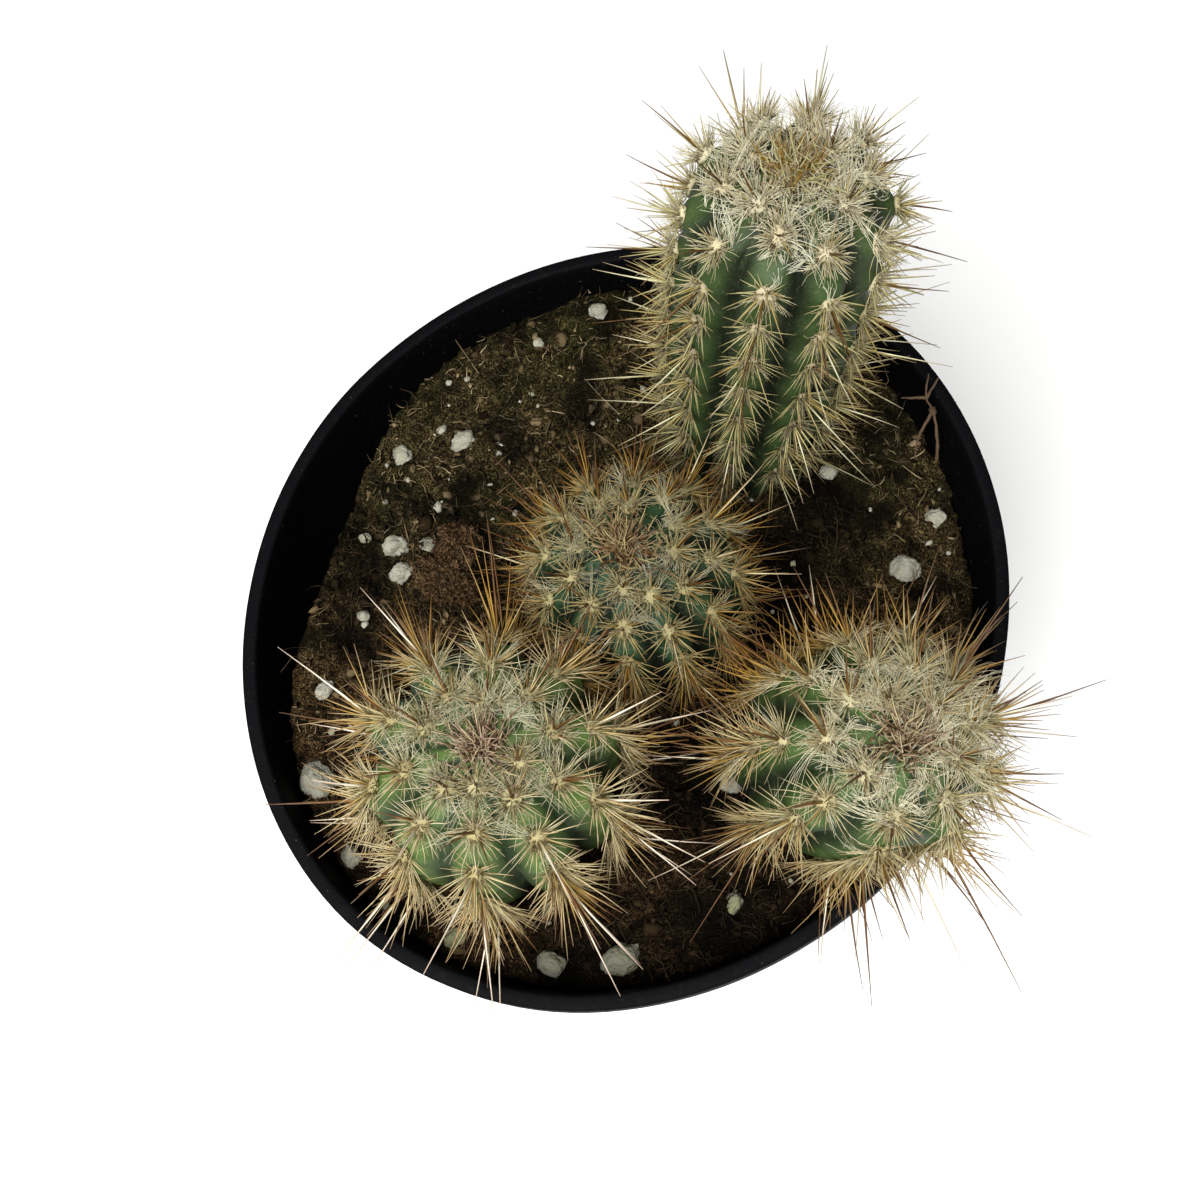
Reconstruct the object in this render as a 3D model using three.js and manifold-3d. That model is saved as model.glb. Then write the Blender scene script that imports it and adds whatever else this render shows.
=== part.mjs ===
// Four young columnar cacti growing in a soft, slightly squeezed nursery pot.
// Millimetres, +Z up. The origin is the centre of the pot's underside.

import * as THREE from 'three';
import { mergeVertices } from 'three/addons/utils/BufferGeometryUtils.js';
import Module from 'manifold-3d';

const wasm = await Module();
wasm.setup();

// Pot: a thin tapered wall under a plain lip. Its rim is squeezed into an oval.
const RIM_TOP = 88;
const RIM_RADIUS = 51;
const LIP_WIDTH = 1.9;
const LIP_DEPTH = 4.2;
const LIP_STEP = 0.4;
const LIP_EDGE = 0.6;
const FOOT_RADIUS = 38;
const WALL = 1.2;
const FLOOR = 1.6;
const SQUEEZE = 2.8;
const SQUEEZE_CORNERS = 0.4;
const SQUEEZE_GROWTH = 1.3;
const LONG_AXIS = 61;
const POT_SIDES = 48;
const MID_HEIGHT = 44;
const DRAIN_HOLES = 6;
const DRAIN_RADIUS = 3.5;
const DRAIN_CIRCLE = 27;

// Soil: a fibrous plug that has shrunk away from the wall on the left.
const SOIL_LEVEL = 80.8;
const SOIL_RISE = 3;
const SHRINK_GAP = 4.5;
const SHRINK_AZIMUTH = 165;
const SHRINK_SPREAD = 26;
const LOOSE_FROM = 45;
const LOOSE_TO = 72;
const TOUCH_GAP = 0.4;
const EDGE_DROP = 1.2;
const TOP_MARK = 100;

// Loose grains of perlite half sunk in the soil: x, y, size. The last one is a lump of bark.
const GRAINS = [
  [-23, 25, 3.4], [-31.5, 23, 2.8], [-26, 27, 1.6], [-12.5, 40, 1.8], [-26, 15, 1.6],
  [-36, 10.5, 1.6], [-31.5, 9, 3.4], [-30.5, 5, 3.3], [-27, 9, 2.4], [-35.5, -1, 1.8],
  [-40, -11.5, 2.9], [-40, -23.5, 4.6], [-34.5, -33.5, 2.8], [-21, -43.5, 2.7],
  [-9, -46.5, 3.3], [-0.5, -46, 4.8], [13.5, -23.5, 3.6], [13.5, -39, 2.7],
  [37.5, 5, 3.7], [42, 12.5, 2.8], [28, 19.5, 2.4], [-4, 44.5, 2.6], [-24, 5.5, 6.4],
];
const GRAIN_SINK = 0.28;

// Cacti: foot and lean in the plane of the soil, then the body and its ribs.
// Spines is how long they grow on that plant. Crowding swings the ribs towards one azimuth.
// Offsets start each rib's row of areoles.
const PLANTS = [
  {
    name: 'cactus_tall', foot: [15.8, 24], lean: [2.6, -1], height: 61, radius: 11, waist: 0.8,
    dome: 7, spines: 0.7, rows: 11, turn: 255, crowding: [0, 0], pitch: 5.6, growth: 0.12,
    offsets: [0.55, 0.9, 0.35, 0.7, 0.1, 0.5, 0.9, 0.3, 0.6, 0.2],
  },
  {
    name: 'cactus_middle', foot: [3.3, -2], lean: [-2.8, 0], height: 26, radius: 12.3, waist: 0.85,
    dome: 9, spines: 0.8, rows: 6, turn: 267, crowding: [0, 0], pitch: 4.9, growth: 0,
    offsets: [0.38, 0.72, 0.08, 0.53, 0.85, 0.15, 0.5, 0.8, 0.35, 0.6, 0.9, 0.02],
  },
  {
    name: 'cactus_left', foot: [-14.5, -26.5], lean: [-0.4, -0.5], height: 30, radius: 14.5, waist: 0.85,
    dome: 9, spines: 1, rows: 6, turn: 267, crowding: [0, 0], pitch: 5.2, growth: 0,
    offsets: [0.15, 0.65, 0.2, 0.95, 0.92, 0.4, 0.75, 0.65, 0.1, 0.45],
  },
  {
    name: 'cactus_right', foot: [24.2, -22.6], lean: [5.8, -4.5], height: 33, radius: 12.3, waist: 0.85,
    dome: 9, spines: 1, rows: 6, turn: 258, crowding: [12, 48], pitch: 5.2, growth: 0,
    offsets: [0.05, 0.98, 0.5, 0.95, 0.3, 0.03, 0.2, 0.7, 0.85, 0.4],
  },
];
const RIB_DEPTH = 0.2;
const RIB_ROUNDNESS = 0.6;
const OUTLINE_STEPS = 40;
const WAIST_END = 0.7;
const DOME_ROUNDNESS = 0.9;
const LEAN_CURVE = 1.3;
const ROOT_DEPTH = 8;
const ROOT_TAPER = 0.7;
const HOLE_GAP = 0.45;

// Spines stand on small diamonds along every crest: one central and six radials round it.
// Young spines near the crown are short, and are full grown some way down.
const CROWN_RING = 2;
const PAD = 0.5;
const PAD_OF_RIB = 0.13;
const PAD_HEIGHT = 1.2;
const PAD_WIDTH = 1.5;
const PAD_CORNER = 0.6;
const RADIAL_LENGTH = [5, 7.5];
const RADIAL_LIFT = [22, 42];
const RADIAL_SWAY = [-15, 15];
const CENTRAL_LENGTH = [9, 16];
const CENTRAL_TILT = 0.28;
const YOUNGEST = 0.45;
const FULL_GROWN = 18;
const TUFT_LENGTH = [3, 6];
const TUFT_LEAN = [0.2, 1.1];
const FIRST_AREOLE = 4;
const LAST_AREOLE = 4.5;
const LONGEST_ROW = 30;
const PROBES = [0.15, 0.3, 0.45, 0.6, 0.75, 0.9, 1];
const LEAST_LIFT = 0.35;
const BEND_STEP = 0.15;
const ROOT_SHARE = 0.02;
const ATTEMPTS = 36;
const SHORTENING = 0.9;
const STUBS = [0.8, 0.4, 0.2, 0.1];
const SOIL_CLEARANCE = 3.2;
const RIM_CLEARANCE = 0.7;
const PLANT_CLEARANCE = 0.3;

// A dry sprig that leans on the inside of the rim: its joints, then its twigs.
const SPRIG_POINTS = {
  foot: [42.6, 20.6, 82.9], stem: [42.3, 22.3, 85.5], node: [41.6, 25.6, 87.5],
  fork: [40.6, 26.8, 89], tip: [40.6, 29.1, 91.5], spur: [42, 28.7, 91],
  arm: [37.4, 27.4, 88], elbow: [39.8, 22.6, 84.9], toe: [39.6, 20.8, 82.9],
};
const SPRIG_TWIGS = [
  ['foot', 'stem'], ['stem', 'node'], ['node', 'fork'], ['fork', 'tip'], ['fork', 'spur'],
  ['fork', 'arm'], ['node', 'elbow'], ['elbow', 'toe'],
];
const SPRIG_RADIUS = 0.34;
const SPRIG_KNOT = 0.9;
const SPRIG_SIDES = 4;
const SPRIG_TAPER = 0.8;

const RAD = Math.PI / 180;
const UP = new THREE.Vector3(0, 0, 1);

// Repeatable random draws from 0 to 1, and the same spread over a range.
function draw(...seeds) {
  const mixed = seeds.reduce((sum, seed, i) => sum + seed * [12.9898, 78.233, 37.719][i], 0);
  const value = Math.sin(mixed) * 43758.5453;
  return value - Math.floor(value);
}

function pick([low, high], ...seeds) {
  return low + (high - low) * draw(...seeds);
}

// A closed geometry becomes a solid, and a solid becomes a named mesh.
function solid(geometry) {
  const bare = geometry.clone();
  bare.deleteAttribute('normal');
  bare.deleteAttribute('uv');
  const merged = mergeVertices(bare, 1e-4);
  const vertProperties = Float32Array.from(merged.attributes.position.array);
  const triVerts = Uint32Array.from(merged.index.array);
  return new wasm.Manifold(new wasm.Mesh({ numProp: 3, vertProperties, triVerts }));
}

function geometryOf(body) {
  const { vertProperties, triVerts } = body.getMesh();
  const geometry = new THREE.BufferGeometry();
  geometry.setAttribute('position', new THREE.BufferAttribute(vertProperties, 3));
  geometry.setIndex(new THREE.BufferAttribute(triVerts, 1));
  return geometry;
}

// The largest body of a solid: loose scraps are dropped and sealed hollows filled.
function largest(body) {
  return body.decompose().sort((a, b) => b.volume() - a.volume())[0];
}

function meshOf(name, geometry, material) {
  geometry.computeVertexNormals();
  const mesh = new THREE.Mesh(geometry, material);
  mesh.name = name;
  return mesh;
}

// A lathe turned about +Z from [radius, height] points, then moved point by point.
function turned(profile, sides, move) {
  const geometry = new THREE.LatheGeometry(profile.map(([r, z]) => new THREE.Vector2(r, z)), sides);
  geometry.rotateX(Math.PI / 2);
  const position = geometry.attributes.position;
  const point = new THREE.Vector3();
  for (let i = 0; i < position.count; i += 1) {
    point.fromBufferAttribute(position, i);
    move(point, Math.atan2(point.y, point.x), Math.hypot(point.x, point.y));
    position.setXYZ(i, point.x, point.y, point.z);
  }
  return geometry;
}

// How far the oval stands out of the circle, from nothing at the floor to all of it at the rim.
function squeeze(azimuth, height) {
  const turn = azimuth - LONG_AXIS * RAD;
  const oval = SQUEEZE * Math.cos(2 * turn) + SQUEEZE_CORNERS * Math.cos(4 * turn);
  return oval * (Math.max(0, height) / RIM_TOP) ** SQUEEZE_GROWTH;
}

// Mean radius of the outer wall at a height, and the true inside radius at an azimuth.
function wallRadius(height) {
  const top = RIM_RADIUS - LIP_WIDTH + WALL - LIP_STEP;
  return FOOT_RADIUS + (top - FOOT_RADIUS) * (height / (RIM_TOP - LIP_DEPTH));
}

function insideRadius(azimuth, height) {
  const level = Math.min(height, RIM_TOP - LIP_DEPTH);
  const radius = wallRadius(level) - WALL;
  return radius + squeeze(azimuth, level) * (radius / wallRadius(level));
}

function oval(point, azimuth, radius) {
  const share = radius / wallRadius(Math.min(point.z, RIM_TOP - LIP_DEPTH));
  const grown = radius + squeeze(azimuth, point.z) * Math.min(1, share);
  point.x = grown * Math.cos(azimuth);
  point.y = grown * Math.sin(azimuth);
}

function makePot() {
  const lipBottom = RIM_TOP - LIP_DEPTH;
  const inner = RIM_RADIUS - LIP_WIDTH;
  const profile = [
    [0, 0], [FOOT_RADIUS - 1, 0], [FOOT_RADIUS, 1], [wallRadius(MID_HEIGHT), MID_HEIGHT],
    [wallRadius(lipBottom), lipBottom], [RIM_RADIUS - LIP_EDGE / 2, lipBottom],
    [RIM_RADIUS, lipBottom + LIP_EDGE], [RIM_RADIUS, RIM_TOP - LIP_EDGE], [RIM_RADIUS - LIP_EDGE, RIM_TOP],
    [inner + LIP_EDGE, RIM_TOP], [inner, RIM_TOP - LIP_EDGE], [wallRadius(lipBottom) - WALL, lipBottom],
    [wallRadius(MID_HEIGHT) - WALL, MID_HEIGHT], [wallRadius(FLOOR) - WALL, FLOOR], [0, FLOOR],
  ];
  let pot = solid(turned(profile, POT_SIDES, oval));
  for (let i = 0; i < DRAIN_HOLES; i += 1) {
    const drill = new THREE.CylinderGeometry(DRAIN_RADIUS, DRAIN_RADIUS, 4 * FLOOR, 12);
    const azimuth = (2 * Math.PI * i) / DRAIN_HOLES;
    drill.rotateX(Math.PI / 2);
    drill.translate(DRAIN_CIRCLE * Math.cos(azimuth), DRAIN_CIRCLE * Math.sin(azimuth), 0);
    pot = pot.subtract(solid(drill));
  }
  return pot;
}

// The soil's surface: it climbs towards the back and rolls gently.
function soilTop(x, y) {
  const climb = SOIL_RISE * (Math.max(0, y) / 50) ** 2;
  const rolls = 0.45 * Math.sin(0.19 * x + 1.3) * Math.sin(0.17 * y + 0.4);
  return SOIL_LEVEL + climb + rolls + 0.3 * Math.sin(0.41 * x - 0.23 * y + 2);
}

function soilEdge(azimuth, height) {
  const away = (azimuth / RAD - SHRINK_AZIMUTH + 540) % 360 - 180;
  const shrink = SHRINK_GAP * Math.exp(-((away / SHRINK_SPREAD) ** 2));
  const loose = THREE.MathUtils.smoothstep(height, LOOSE_FROM, LOOSE_TO);
  return insideRadius(azimuth, height) - TOUCH_GAP - shrink * loose;
}

// The plug is turned as shares of its own edge. Points at the top mark are laid on the surface.
function makeSoil() {
  const bottom = FLOOR + 0.3;
  const sideHeights = [bottom, MID_HEIGHT, LOOSE_TO];
  const topShares = [1, 0.97, 0.78, 0.52, 0.26];
  const side = sideHeights.map((height) => [1, height]);
  const top = topShares.map((share) => [share, TOP_MARK]);
  const profile = [[0, bottom], ...side, ...top, [0, TOP_MARK]];
  const body = turned(profile, POT_SIDES, (point, azimuth, share) => {
    const isTop = point.z > TOP_MARK - 1;
    const reach = share * soilEdge(azimuth, isTop ? SOIL_LEVEL : point.z);
    point.x = reach * Math.cos(azimuth);
    point.y = reach * Math.sin(azimuth);
    if (isTop) {
      point.z = soilTop(point.x, point.y) - (share > 0.99 ? EDGE_DROP : 0);
    }
  });
  let soil = solid(body);
  GRAINS.forEach(([x, y, size], i) => {
    const grain = new THREE.IcosahedronGeometry(size / 2, 0);
    grain.scale(1, pick([0.75, 1], i, 1), pick([0.6, 0.85], i, 2));
    grain.rotateZ(Math.PI * draw(i, 3));
    grain.translate(x, y, soilTop(x, y) + GRAIN_SINK * size / 2);
    soil = soil.add(solid(grain));
  });
  PLANTS.forEach((plant) => {
    const radius = plant.radius * plant.waist + HOLE_GAP;
    const depth = 2 * (ROOT_DEPTH + HOLE_GAP);
    const hole = new THREE.CylinderGeometry(radius, radius, depth, 24);
    hole.rotateX(Math.PI / 2);
    hole.translate(plant.foot[0], plant.foot[1], SOIL_LEVEL);
    soil = soil.subtract(solid(hole));
  });
  return largest(soil);
}

// A plant's outline from the foot to the crown, as [radius, height above the soil].
function outline(plant) {
  const side = plant.height - plant.dome;
  const points = [];
  for (let i = 0; i <= OUTLINE_STEPS; i += 1) {
    const share = i / OUTLINE_STEPS;
    const swell = Math.sin((Math.PI / 2) * Math.min(1, share / WAIST_END));
    points.push([plant.radius * (plant.waist + (1 - plant.waist) * swell), side * share]);
  }
  for (let i = 1; i <= OUTLINE_STEPS; i += 1) {
    const angle = (Math.PI / 2) * (i / OUTLINE_STEPS);
    const radius = plant.radius * Math.abs(Math.cos(angle)) ** DOME_ROUNDNESS;
    points.push([radius, side + plant.dome * Math.sin(angle)]);
  }
  return points.reverse();
}

// Where a plant's axis stands at a height, and where a rib's azimuth swings to.
function axisAt(plant, height) {
  const share = (Math.max(0, height) / plant.height) ** LEAN_CURVE;
  return [plant.foot[0] + plant.lean[0] * share, plant.foot[1] + plant.lean[1] * share];
}

function crowded(plant, azimuth) {
  const [swing, towards] = plant.crowding;
  return azimuth - swing * RAD * Math.sin(azimuth - towards * RAD);
}

function ribbed(plant, azimuth) {
  const phase = (plant.offsets.length * (azimuth - plant.turn * RAD)) / 2;
  return 1 - RIB_DEPTH * (1 - Math.abs(Math.cos(phase)) ** RIB_ROUNDNESS);
}

// A function that gives the body's surface point at a distance down from the crown's centre.
function surfaceOf(plant) {
  const line = outline(plant);
  const lengths = [0];
  line.slice(1).forEach(([r, z], i) => {
    lengths.push(lengths[i] + Math.hypot(r - line[i][0], z - line[i][1]));
  });
  const total = lengths[lengths.length - 1];
  const locate = (down) => {
    const i = Math.max(0, lengths.findIndex((length) => length >= Math.min(down, total)) - 1);
    const share = (Math.min(down, total) - lengths[i]) / (lengths[i + 1] - lengths[i]);
    return [0, 1].map((axis) => line[i][axis] + share * (line[i + 1][axis] - line[i][axis]));
  };
  const place = (radius, height, turn) => {
    const [x, y] = axisAt(plant, height);
    const angle = crowded(plant, turn);
    const reach = radius * ribbed(plant, turn);
    return new THREE.Vector3(x + reach * Math.cos(angle), y + reach * Math.sin(angle), SOIL_LEVEL + height);
  };
  const at = (down, turn) => place(...locate(down), turn);
  return { total, locate, place, at };
}

// A skin is a list of points and of triangles between them.
function addPoint(skin, point) {
  return skin.points.push(point) - 1;
}

// Fills the strip between two chains of points that both run down the body.
function fillStrip(skin, left, right) {
  let [i, j] = [0, 0];
  while (i < left.length - 1 || j < right.length - 1) {
    const leftFirst = j === right.length - 1
      || (i < left.length - 1 && left[i + 1].down <= right[j + 1].down);
    if (leftFirst) {
      skin.faces.push([left[i].index, left[i + 1].index, right[j].index]);
      i += 1;
    } else {
      skin.faces.push([left[i].index, right[j + 1].index, right[j].index]);
      j += 1;
    }
  }
}

// Draws the triangle or diamond between some points out to a spine's tip.
function drawOut(skin, corners, tip) {
  const top = addPoint(skin, tip);
  corners.forEach((corner, i) => skin.faces.push([corner, corners[(i + 1) % corners.length], top]));
}

// A point is free when it is clear of the soil, the rim and the other plants.
function isFree(point, plant) {
  const azimuth = Math.atan2(point.y, point.x);
  const atWall = Math.hypot(point.x, point.y) > insideRadius(azimuth, point.z) - RIM_CLEARANCE;
  if (atWall && point.z < RIM_TOP + RIM_CLEARANCE) {
    return false;
  }
  if (point.z < soilTop(point.x, point.y) + SOIL_CLEARANCE) {
    return false;
  }
  const [x, y] = axisAt(plant, plant.height / 2);
  return PLANTS.every((other) => {
    const [otherX, otherY] = axisAt(other, other.height / 2);
    const apart = Math.hypot(otherX - x, otherY - y);
    if (other === plant) {
      return true;
    }
    const along = ((point.x - x) * (otherX - x) + (point.y - y) * (otherY - y)) / apart;
    return along < (apart * plant.radius) / (plant.radius + other.radius) - PLANT_CLEARANCE;
  });
}

// A spine is the set of slim faces that meet at its tip.
function spineFrom(corners, tip) {
  const faces = corners.map((corner, i) => [corner, corners[(i + 1) % corners.length], tip]);
  const edges = corners.map((corner) => [corner.clone().lerp(tip, ROOT_SHARE), tip]);
  const middle = corners[0].clone().lerp(tip, 0.5);
  return { tip, faces, edges, middle, reach: middle.distanceTo(tip) + PAD };
}

function crosses(first, second) {
  const ray = new THREE.Ray();
  const hit = new THREE.Vector3();
  return first.edges.some(([start, end]) => second.faces.some(([a, b, c]) => {
    ray.set(start, end.clone().sub(start).normalize());
    const met = ray.intersectTriangle(a, b, c, false, hit);
    return met && hit.distanceTo(start) < end.distanceTo(start);
  }));
}

function standsAlone(spine, spines) {
  const near = spines.filter((other) => other.middle.distanceTo(spine.middle) < other.reach + spine.reach);
  return near.every((other) => !crosses(spine, other) && !crosses(other, spine));
}

// A spine that would run into something is bent upwards or outwards, then shortened.
// Where nothing is free it stays a stub.
function growSpine(skin, plant, spines, corners, direction, normal, length) {
  const points = corners.map((corner) => skin.points[corner]);
  const root = new THREE.Vector3();
  points.forEach((point) => root.addScaledVector(point, 1 / points.length));
  const spineTo = (aim, reach) => spineFrom(points, root.clone().addScaledVector(aim, reach));
  const aim = direction.clone();
  let spine = null;
  for (let attempt = 0; attempt < ATTEMPTS && spine === null; attempt += 1) {
    const trial = spineTo(aim, length * SHORTENING ** Math.max(0, attempt - ATTEMPTS / 3));
    const free = PROBES.every((share) => isFree(root.clone().lerp(trial.tip, share), plant));
    if (free && standsAlone(trial, spines)) {
      spine = trial;
    }
    aim.addScaledVector(free ? normal : UP, BEND_STEP).normalize();
    aim.addScaledVector(normal, Math.max(0, LEAST_LIFT - aim.dot(normal))).normalize();
  }
  if (spine === null) {
    const stubs = STUBS.map((height) => spineTo(normal, height));
    spine = stubs.find((stub) => standsAlone(stub, spines)) ?? stubs[STUBS.length - 1];
  }
  spines.push(spine);
  drawOut(skin, corners, spine.tip);
}

// One areole: a diamond drawn out to the central spine, and six radials round it.
// It returns the chains of points that run round its left and right.
function addAreole(skin, plant, surface, spines, turn, down, seed) {
  const [radius] = surface.locate(down);
  const half = Math.min(PAD, (PAD_OF_RIB * 2 * Math.PI * radius) / plant.offsets.length);
  const at = (across, below) => {
    const index = addPoint(skin, surface.at(down + below * half, turn + (across * half) / radius));
    return { index, down: down + below * half };
  };
  const [up, right, low, left] = [at(0, -PAD_HEIGHT), at(1, 0), at(0, PAD_HEIGHT), at(-1, 0)];
  const [upRight, lowRight] = [at(PAD_WIDTH, -PAD_CORNER), at(PAD_WIDTH, PAD_CORNER)];
  const [upLeft, lowLeft] = [at(-PAD_WIDTH, -PAD_CORNER), at(-PAD_WIDTH, PAD_CORNER)];
  const [above, below, east, west] = [up, low, right, left].map(({ index }) => skin.points[index]);
  const rise = above.clone().sub(below).normalize();
  const side = east.clone().sub(west).normalize();
  const normal = side.clone().cross(rise).normalize();
  const age = plant.spines * (YOUNGEST + (1 - YOUNGEST) * Math.min(1, down / FULL_GROWN));
  const grow = (corners, aim, length) => {
    growSpine(skin, plant, spines, corners.map(({ index }) => index), aim.normalize(), normal, age * length);
  };

  const tilt = new THREE.Vector3(...[1, 2, 3].map((n) => draw(seed, n) - 0.5));
  grow([up, left, low, right], tilt.multiplyScalar(2 * CENTRAL_TILT).add(normal), pick(CENTRAL_LENGTH, seed));
  const radials = [
    [right, lowRight, upRight], [right, upRight, up], [up, upLeft, left],
    [left, upLeft, lowLeft], [left, lowLeft, low], [low, lowRight, right],
  ];
  radials.forEach((corners, i) => {
    const angle = ((360 * i) / radials.length + pick(RADIAL_SWAY, seed, 4 + i)) * RAD;
    const lift = pick(RADIAL_LIFT, seed, 10 + i) * RAD;
    const flat = side.clone().multiplyScalar(Math.cos(angle)).addScaledVector(rise, Math.sin(angle));
    const aim = flat.multiplyScalar(Math.cos(lift)).addScaledVector(normal, Math.sin(lift));
    grow(corners, aim, pick(RADIAL_LENGTH, seed, 16 + i));
  });
  return { left: [up, upLeft, lowLeft, low], right: [up, upRight, lowRight, low] };
}

// A smooth column of points down the body, and a crest's column round its areoles.
function plainColumn(skin, plant, surface, turn) {
  const column = [];
  const span = surface.total - CROWN_RING;
  for (let row = 0; row <= plant.rows; row += 1) {
    const down = CROWN_RING + (span * row) / plant.rows;
    column.push({ index: addPoint(skin, surface.at(down, turn)), down });
  }
  return column;
}

function crestColumns(skin, plant, surface, spines, rib, plantIndex) {
  const turn = plant.turn * RAD + (2 * Math.PI * rib) / plant.offsets.length;
  const top = { index: addPoint(skin, surface.at(CROWN_RING, turn)), down: CROWN_RING };
  const foot = { index: addPoint(skin, surface.at(surface.total, turn)), down: surface.total };
  const [left, right] = [[top], [top]];
  for (let step = plant.offsets[rib]; step < LONGEST_ROW; step += 1) {
    const down = (plant.pitch * step * step) / (step + 0.5) + plant.growth * step * step;
    if (down > FIRST_AREOLE && down < surface.total - LAST_AREOLE) {
      const seed = plantIndex * 1000 + rib * 50 + Math.floor(step);
      const areole = addAreole(skin, plant, surface, spines, turn, down, seed);
      left.push(...areole.left);
      right.push(...areole.right);
    }
  }
  left.push(foot);
  right.push(foot);
  return { left, right };
}

function makePlant(plant, plantIndex) {
  const skin = { points: [], faces: [] };
  const spines = [];
  const surface = surfaceOf(plant);
  const ribs = plant.offsets.length;
  const columns = [];
  for (let rib = 0; rib < ribs; rib += 1) {
    const turn = (share) => plant.turn * RAD + (2 * Math.PI * (rib + share)) / ribs;
    const plain = (share) => plainColumn(skin, plant, surface, turn(share));
    const [furrow, near, far] = [plain(-0.5), plain(-0.25), plain(0.25)];
    const crest = crestColumns(skin, plant, surface, spines, rib, plantIndex);
    columns.push([furrow, furrow], [near, near], [crest.left, crest.right], [far, far]);
  }
  columns.forEach(([, right], i) => fillStrip(skin, right, columns[(i + 1) % columns.length][0]));

  const apex = addPoint(skin, surface.place(0, plant.height, 0));
  const tail = addPoint(skin, surface.place(0, -ROOT_DEPTH, 0));
  const footRadius = plant.radius * plant.waist;
  const root = columns.map((_, i) => {
    const turn = plant.turn * RAD + (2 * Math.PI * (i / 4 - 0.5)) / ribs;
    return addPoint(skin, surface.place(footRadius * ROOT_TAPER, 1 - ROOT_DEPTH, turn));
  });
  columns.forEach(([column], i) => {
    const next = (i + 1) % columns.length;
    const [topHere, topNext] = [column[0].index, columns[next][0][0].index];
    const [footHere, footNext] = [column, columns[next][0]].map((chain) => chain[chain.length - 1].index);
    skin.faces.push([footHere, root[i], footNext], [footNext, root[i], root[next]]);
    skin.faces.push([root[i], tail, root[next]]);
    if (i % 2) {
      skin.faces.push([topHere, topNext, apex]);
    } else {
      const corners = [topHere, topNext, apex];
      const middle = corners.reduce((sum, k) => sum.add(skin.points[k]), new THREE.Vector3()).divideScalar(3);
      const out = middle.clone().sub(skin.points[apex]).setZ(0).normalize();
      const aim = out.multiplyScalar(pick(TUFT_LEAN, plantIndex, i, 1)).add(UP).normalize();
      growSpine(skin, plant, spines, corners, aim, UP, pick(TUFT_LENGTH, plantIndex, i, 2));
    }
  });
  return skinGeometry(skin);
}

function skinGeometry({ points, faces }) {
  const geometry = new THREE.BufferGeometry().setFromPoints(points);
  geometry.setIndex(faces.flat());
  return geometry;
}

function makeSprig() {
  const joint = (name) => new THREE.Vector3(...SPRIG_POINTS[name]);
  const pieces = SPRIG_TWIGS.map(([from, to]) => {
    const [start, end] = [joint(from), joint(to)];
    const along = end.clone().sub(start);
    const length = along.length();
    const twig = new THREE.CylinderGeometry(SPRIG_RADIUS * SPRIG_TAPER, SPRIG_RADIUS, length, SPRIG_SIDES);
    twig.translate(0, length / 2, 0);
    twig.applyQuaternion(new THREE.Quaternion().setFromUnitVectors(
      new THREE.Vector3(0, 1, 0),
      along.clone().normalize(),
    ));
    twig.translate(start.x, start.y, start.z);
    return solid(twig);
  });
  const knot = new THREE.OctahedronGeometry(SPRIG_KNOT, 0).translate(...SPRIG_POINTS.node);
  return largest(pieces.reduce((sprig, twig) => sprig.add(twig), solid(knot)));
}

function finish(color, roughness) {
  return new THREE.MeshStandardMaterial({ color, roughness, metalness: 0 });
}

const part = new THREE.Group();
part.name = 'potted_cacti';
part.add(
  meshOf('pot', geometryOf(makePot()), finish(0x15161a, 0.5)),
  meshOf('soil', geometryOf(makeSoil()), finish(0x2b2118, 0.95)),
  meshOf('dry_sprig', geometryOf(makeSprig()), finish(0x6b4b35, 0.9)),
  ...PLANTS.map((plant, i) => meshOf(plant.name, makePlant(plant, i), finish(0x4d6b3f, 0.7))),
);

export default part;
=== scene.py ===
# %% [markdown]
# # A pot of young columnar cacti
#
# Four young cacti grow in one thin black nursery pot. Each has a ribbed green body, a row of
# felted cushions (areoles) down every rib, a star of spines on each cushion and curly white wool
# between them. The solids that are measured and tested come from the frame. Here they are
# replaced by finer pieces of the same form, worked out from the same few sizes and formulas.
#
# Sizes below are in millimetres, as on the solids, and a piece is scaled to metres when it is
# finished.

# %% Load the frame
from math import atan2, cos, degrees, exp, floor, hypot, pi, radians, sin, sqrt
from types import SimpleNamespace

import bmesh
import bpy
import numpy as np
from mathutils import Matrix, Vector, noise


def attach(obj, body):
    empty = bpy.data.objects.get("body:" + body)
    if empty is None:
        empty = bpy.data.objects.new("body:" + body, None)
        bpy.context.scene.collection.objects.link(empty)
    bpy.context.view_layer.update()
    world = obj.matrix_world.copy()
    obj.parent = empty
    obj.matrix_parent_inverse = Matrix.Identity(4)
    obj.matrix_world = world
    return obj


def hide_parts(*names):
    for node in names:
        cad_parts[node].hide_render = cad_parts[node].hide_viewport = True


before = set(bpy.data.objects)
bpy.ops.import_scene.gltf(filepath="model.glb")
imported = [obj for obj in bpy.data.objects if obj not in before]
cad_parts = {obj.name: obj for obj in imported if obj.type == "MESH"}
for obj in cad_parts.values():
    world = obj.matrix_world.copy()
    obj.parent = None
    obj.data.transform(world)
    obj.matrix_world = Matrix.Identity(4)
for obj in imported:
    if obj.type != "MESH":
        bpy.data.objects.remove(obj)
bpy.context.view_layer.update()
MM = 0.001
TURN = 2 * pi
UP = np.array([0.0, 0.0, 1.0])
print("nodes:", sorted(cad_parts))

# %% [markdown]
# ## Camera, floor and light
#
# The photograph looks down steeply from the front. A camera is set by where it stands, how it
# is turned and how long its lens is. These were worked out from the rim's ellipse and from how
# far the tall plant leans away from its foot in the picture.

# %% Camera
CAMERA_PLACE = (4.7, -65.5, 257.1)
CAMERA_TURN = (20.73, 2.49, 0.45)
CAMERA_LENS = 42
SENSOR_WIDTH = 36


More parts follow.
